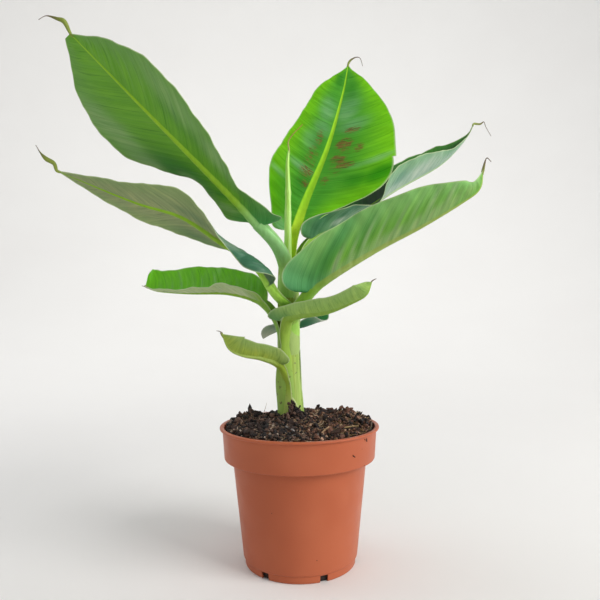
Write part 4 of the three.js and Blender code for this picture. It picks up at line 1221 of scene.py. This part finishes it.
LEAF_LOOKS = {
    # The upper left leaf's stalk and sheath are lighter than their own green: painted light against the shade
    # above.
    "leaf_upper_left": dict(
        Under=(0.14, 0.39, 0.02), Under_Outer=(0.15, 0.36, 0.06), Base=(0.07, 0.33, 0.10), Stalk=(0.33, 0.66, 0.25),
        Rib_Under=(0.30, 0.55, 0.02), Sheen=(0.31, 0.47, 0.21), Sheath=(0.36, 0.62, 0.14),
    ),
    # The centre leaf's bright outer blade is a painted glow of light through it; its stalk is lightened as painted
    # light.
    "leaf_centre": dict(
        Upper=(0.075, 0.34, 0.03), Upper_Outer=(0.17, 0.54, 0.012), Rib=(0.32, 0.64, 0.03), Base=(0.10, 0.36, 0.02),
        Stalk=(0.56, 0.80, 0.05), gloss=0.04,
    ),
    # The right back leaf's upper face and base are very dark green: painted shade from the leaf in front of it.
    "leaf_right_back": dict(
        Under=(0.27, 0.39, 0.30), Under_Outer=(0.19, 0.36, 0.20), Upper=(0.02, 0.09, 0.015),
        Upper_Outer=(0.04, 0.19, 0.02), Base=(0.03, 0.20, 0.03), base_reach=0.4, Sheen=(0.46, 0.52, 0.46),
        Rib_Under=(0.34, 0.46, 0.26),
    ),
    "leaf_right_front": dict(
        Under=(0.15, 0.41, 0.035), Under_Outer=(0.24, 0.53, 0.14), Base=(0.085, 0.36, 0.15), base_reach=0.2,
        Sheen=(0.46, 0.55, 0.33), Stalk=(0.26, 0.50, 0.05), Rib_Under=(0.33, 0.45, 0.10),
        Sheath=(0.33, 0.46, 0.13),
    ),
    # The middle left leaf's sheath is lighter than its own green: painted light against the shade of the leaves
    # above.
    "leaf_middle_left": dict(
        Under=(0.29, 0.35, 0.16), Under_Outer=(0.26, 0.36, 0.14), Upper=(0.045, 0.15, 0.08),
        Upper_Outer=(0.045, 0.17, 0.09), Base=(0.055, 0.155, 0.085), Stalk=(0.37, 0.68, 0.08),
        Sheen=(0.38, 0.44, 0.33), Sheath=(0.34, 0.60, 0.10),
    ),
    "leaf_lower_left": dict(
        Upper=(0.12, 0.44, 0.002), Upper_Outer=(0.12, 0.45, 0.002), Under=(0.50, 0.60, 0.30),
        Under_Outer=(0.46, 0.58, 0.26), Base=(0.22, 0.46, 0.03),
    ),
    "leaf_lower_right": dict(
        Under=(0.34, 0.55, 0.12), Under_Outer=(0.35, 0.56, 0.15), Stalk=(0.28, 0.44, 0.05),
        Rib_Under=(0.28, 0.46, 0.07), Sheath=(0.26, 0.41, 0.07),
    ),
    "leaf_small_back": dict(
        Under=(0.30, 0.42, 0.28), Under_Outer=(0.50, 0.55, 0.46), Upper=(0.03, 0.20, 0.05),
        Upper_Outer=(0.03, 0.20, 0.05), Base=(0.03, 0.20, 0.06), Edge=(0.60, 0.64, 0.55),
    ),
    "leaf_small_left": dict(
        Under=(0.28, 0.38, 0.05), Under_Outer=(0.27, 0.39, 0.10), Base=(0.17, 0.28, 0.06), Stalk=(0.27, 0.38, 0.03),
        Sheath=(0.37, 0.48, 0.10), Rib_Under=(0.34, 0.46, 0.10),
    ),
}  # fmt: skip


THREAD_SIDES = 6
THREAD_STEPS = 8
THREAD_ROOT = 3
THREAD_CREASE = 80
THREAD_FRESH, THREAD_DRY = (0.26, 0.34, 0.05), (0.17, 0.12, 0.07)
THREAD_BROWNING = 0.3


def thread_material():
    """Dried leaf tip: yellow-green where it leaves the blade, turning brown and wiry."""
    material, tree, shader, place = start_material("dry_thread")
    tone = kept(tree, "tone", "Color")
    mottled = mix_colours(tree, noise(tree, place, 500, 2), tone, tinted(tree, tone, (0.6, 0.55, 0.5, 1)))
    feed(tree, shader, {"Base Color": mottled, "Roughness": 0.7})
    return material


THREAD_LOOK = thread_material()


def make_thread(name, tip, ahead, points, radii, fresh, dry, green_to, browning):
    """A dry thread from inside a leaf's tip through the given points, with its radius falling along it.

    Its tone is fresh up to the share green_to of its length, and dry from the share browning after that on.
    """
    path = np.vstack([tip - ahead * THREAD_ROOT, tip, *points])
    share = np.linspace(0, 1, THREAD_STEPS * (len(path) - 1) + 1)
    skin = strands(values_along(path, share)[None], values_along(radii, share)[None], THREAD_SIDES)
    piece = new_piece(name, *skin, crease=THREAD_CREASE)
    dried = np.repeat(np.clip((share - green_to) / browning, 0, 1), THREAD_SIDES)[:, None]
    painted(piece, np.array(fresh) * (1 - dried) + np.array(dry) * dried)
    piece.data.materials.append(THREAD_LOOK)
    return piece


for number, own_measures in enumerate(LEAVES):
    leaf = LEAF_HABIT | own_measures
    blade_piece, tip_point, tip_way = make_leaf(leaf, FIRST_LEAF_SEED + number)
    blade_piece.data.materials.append(leaf_material(leaf["name"] + "_skin", **LEAF_LOOKS[leaf["name"]]))
    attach(blade_piece, "root")
    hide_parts(leaf["name"])

    thread_piece = make_thread(
        leaf["name"] + "_thread", tip_point, tip_way, leaf["thread"], leaf["thread_size"],
        THREAD_FRESH, THREAD_DRY, leaf["green_to"], THREAD_BROWNING,
    )  # fmt: skip
    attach(thread_piece, "root")


# New leaf: the youngest leaf, still rolled up tight as it pushes up through the middle of the stem. Its free edge
# winds round it as a fine step, and its tip runs out into a soft thread.

ROLL_PATH = [(-7.6, -1, 214), (-7.5, -1, 232), (-7.3, -1, 251), (-7.1, -1, 280), (-7.3, -1, 300), (-6.1, -1, 311)]
ROLL_RADII = [3.2, 3.0, 2.7, 1.9, 1.3, 0.55]
ROLL_KNOTS = [(278, 0.35, 2.5), (262, 0.2, 3)]
ROLL_ROWS = 180
ROLL_COLUMNS = 40
ROLL_CREASE = 45
ROLL_STEP = 0.16
ROLL_STEP_ANGLE = 4.4
ROLL_TURNS = 0.45
ROLL_EDGE = (0.93, 0.98)
ROLL_THREAD = [(-6.5, -1, 317), (-3, -1, 322.5), (4.5, -1, 330)]
ROLL_THREAD_RADII = [0.8, 0.7, 0.6, 0.4, 0.25]
ROLL_THREAD_FRESH, ROLL_THREAD_DRY = (0.42, 0.60, 0.16), (0.42, 0.20, 0.04)


def rolled_leaf():
    """The roll's points: round each row the radius is R (1 + step (a / 2 pi)), which leaves a step where it closes.

    The angle of that step turns slowly with the height, and small knots swell the roll at two heights.
    """
    share = np.linspace(0, 1, ROLL_ROWS)
    centre = values_along(ROLL_PATH, share)
    radius = values_along(ROLL_RADII, share)
    for height, swelling, width in ROLL_KNOTS:
        radius = radius + swelling * np.exp(-(((centre[:, 2] - height) / width) ** 2))
    turn = np.linspace(0, 1, ROLL_COLUMNS)
    angle = (ROLL_STEP_ANGLE + ROLL_TURNS * 2 * np.pi * share)[:, None] + turn * 2 * np.pi
    ring = radius[:, None] * (1 - ROLL_STEP / 2 + ROLL_STEP * turn)
    edge = np.interp(turn, ROLL_EDGE, (0, 1))[None] + 0 * ring
    return rings_round(centre, ring, angle), edge


def roll_material():
    """Pale, tender green with fine lengthwise streaks and a whitish free edge."""
    material, tree, shader, place = start_material("rolled_leaf_green")
    streaks = spread(tree, noise(tree, scaled(tree, place, (600, 600, 40)), 1, 3), 0.35, 0.65)
    colour = mix_colours(tree, streaks, (0.36, 0.66, 0.08, 1), (0.48, 0.80, 0.19, 1))
    looks = {
        "Base Color": mix_colours(tree, kept(tree, "edge"), colour, (0.52, 0.74, 0.28, 1)),
        "Roughness": 0.45,
        "Normal": relief(tree, streaks, 0.3, 0.0003),
    }
    feed(tree, shader, looks)
    return material


roll_piece = ringed_piece("new_leaf_roll", *rolled_leaf(), crease=ROLL_CREASE)
roll_piece.data.materials.append(roll_material())
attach(roll_piece, "root")
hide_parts("leaf_rolled_new")

roll_thread = make_thread(
    "new_leaf_thread", np.array(ROLL_PATH[-1]), np.array([0.0, 0.0, 1.0]), ROLL_THREAD, ROLL_THREAD_RADII,
    ROLL_THREAD_FRESH, ROLL_THREAD_DRY, 0, 1,
)  # fmt: skip
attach(roll_thread, "root")


# Stage: a plain, pale studio sweep, round and open at the top, whose floor curves up on all sides, with three soft
# lights and the camera. Its measures are in metres.

SWEEP_HOLE = 0.05
SWEEP_FLAT = 0.8
SWEEP_BEND = 2.2
SWEEP_TOP = 3.2
SWEEP_SIDES = 96
SWEEP_ROWS = 40
WORLD_TINT = (0.97, 0.98, 1.0, 1)
WORLD_STRENGTH = 0.5
CAMERA_PLACE = (0.0013, -0.449, 0.193)
CAMERA_PITCH = math.radians(0.43)
CAMERA_ROLL = math.radians(-0.5)
CAMERA_CLIP = 0.01
SENSOR = 36
FOCAL_SHARE = 590 / 600


def studio_sweep():
    """A bowl: its section runs flat, through a quarter circle and upright, and is turned round Z."""
    bend = np.linspace(0, np.pi / 2, SWEEP_ROWS)
    curve = np.stack([SWEEP_FLAT + SWEEP_BEND * np.sin(bend), SWEEP_BEND - SWEEP_BEND * np.cos(bend)], -1)
    section = np.vstack([[SWEEP_HOLE, 0], curve, [SWEEP_FLAT + SWEEP_BEND, SWEEP_TOP]])
    points = rings_round(section[:, 1:] * (0, 0, 1), section[:, :1], -round_angles(SWEEP_SIDES))
    return points.reshape(-1, 3) / MM, skin_faces(len(section), SWEEP_SIDES)[:-1]


def paper_material():
    """Pale paper with a faint mottle."""
    material, tree, shader, place = start_material("pale_paper")
    tone = mix_colours(tree, noise(tree, place, 3, 2), (0.80, 0.79, 0.775, 1), (0.83, 0.825, 0.81, 1))
    feed(tree, shader, {"Base Color": tone, "Roughness": 0.9})
    return material


backdrop = new_piece("pale_sweep", *studio_sweep())
backdrop.data.materials.append(paper_material())


def put(name, data, axes, place):
    """An object in the scene at a place, with its own axes as three directions."""
    thing = bpy.data.objects.new(name, data)
    bpy.context.scene.collection.objects.link(thing)
    matrix = np.eye(4)
    matrix[:3, :3] = np.stack(axes, 1)
    matrix[:3, 3] = place
    thing.matrix_world = Matrix(matrix.tolist())
    return thing


def softbox(name, place, aim, size, power, colour):
    """A square area light at a place, turned to its aim."""
    light = bpy.data.lights.new(name, "AREA")
    light.size = size
    light.energy = power
    light.color = colour
    way = unit(np.array(place) - np.array(aim))
    aside = unit(np.cross((0, 0, 1), way))
    put(name, light, [aside, np.cross(way, aside), way], place).visible_camera = False


softbox("left_light", (-1.2, 0.4, 0.84), aim=(0, 0, 0.22), size=0.96, power=3.9, colour=(0.97, 0.98, 1.0))
softbox("right_light", (1.16, -0.68, 0.84), aim=(0, 0, 0.2), size=0.88, power=20, colour=(1.0, 0.985, 0.965))
softbox("back_light", (0.0, 0.9, 1.9), aim=(0, 3.0, 0.8), size=1.4, power=21, colour=(1.0, 1.0, 0.99))

scene = bpy.context.scene
scene.world = bpy.data.worlds.new("studio")
scene.world.use_nodes = True
surround = scene.world.node_tree.nodes["Background"].inputs
surround["Color"].default_value = WORLD_TINT
surround["Strength"].default_value = WORLD_STRENGTH
scene.view_settings.view_transform = "Standard"

camera_data = bpy.data.cameras.new("camera")
camera_data.sensor_fit = "HORIZONTAL"
camera_data.sensor_width = SENSOR
camera_data.lens = SENSOR * FOCAL_SHARE
camera_data.clip_start = CAMERA_CLIP
level_right = np.array([1.0, 0.0, 0.0])
forward = np.array([0.0, math.cos(CAMERA_PITCH), math.sin(CAMERA_PITCH)])
level_up = np.array([0.0, -math.sin(CAMERA_PITCH), math.cos(CAMERA_PITCH)])
right = math.cos(CAMERA_ROLL) * level_right + math.sin(CAMERA_ROLL) * level_up
upright = math.cos(CAMERA_ROLL) * level_up - math.sin(CAMERA_ROLL) * level_right
scene.camera = put("camera", camera_data, [right, upright, -forward], CAMERA_PLACE)
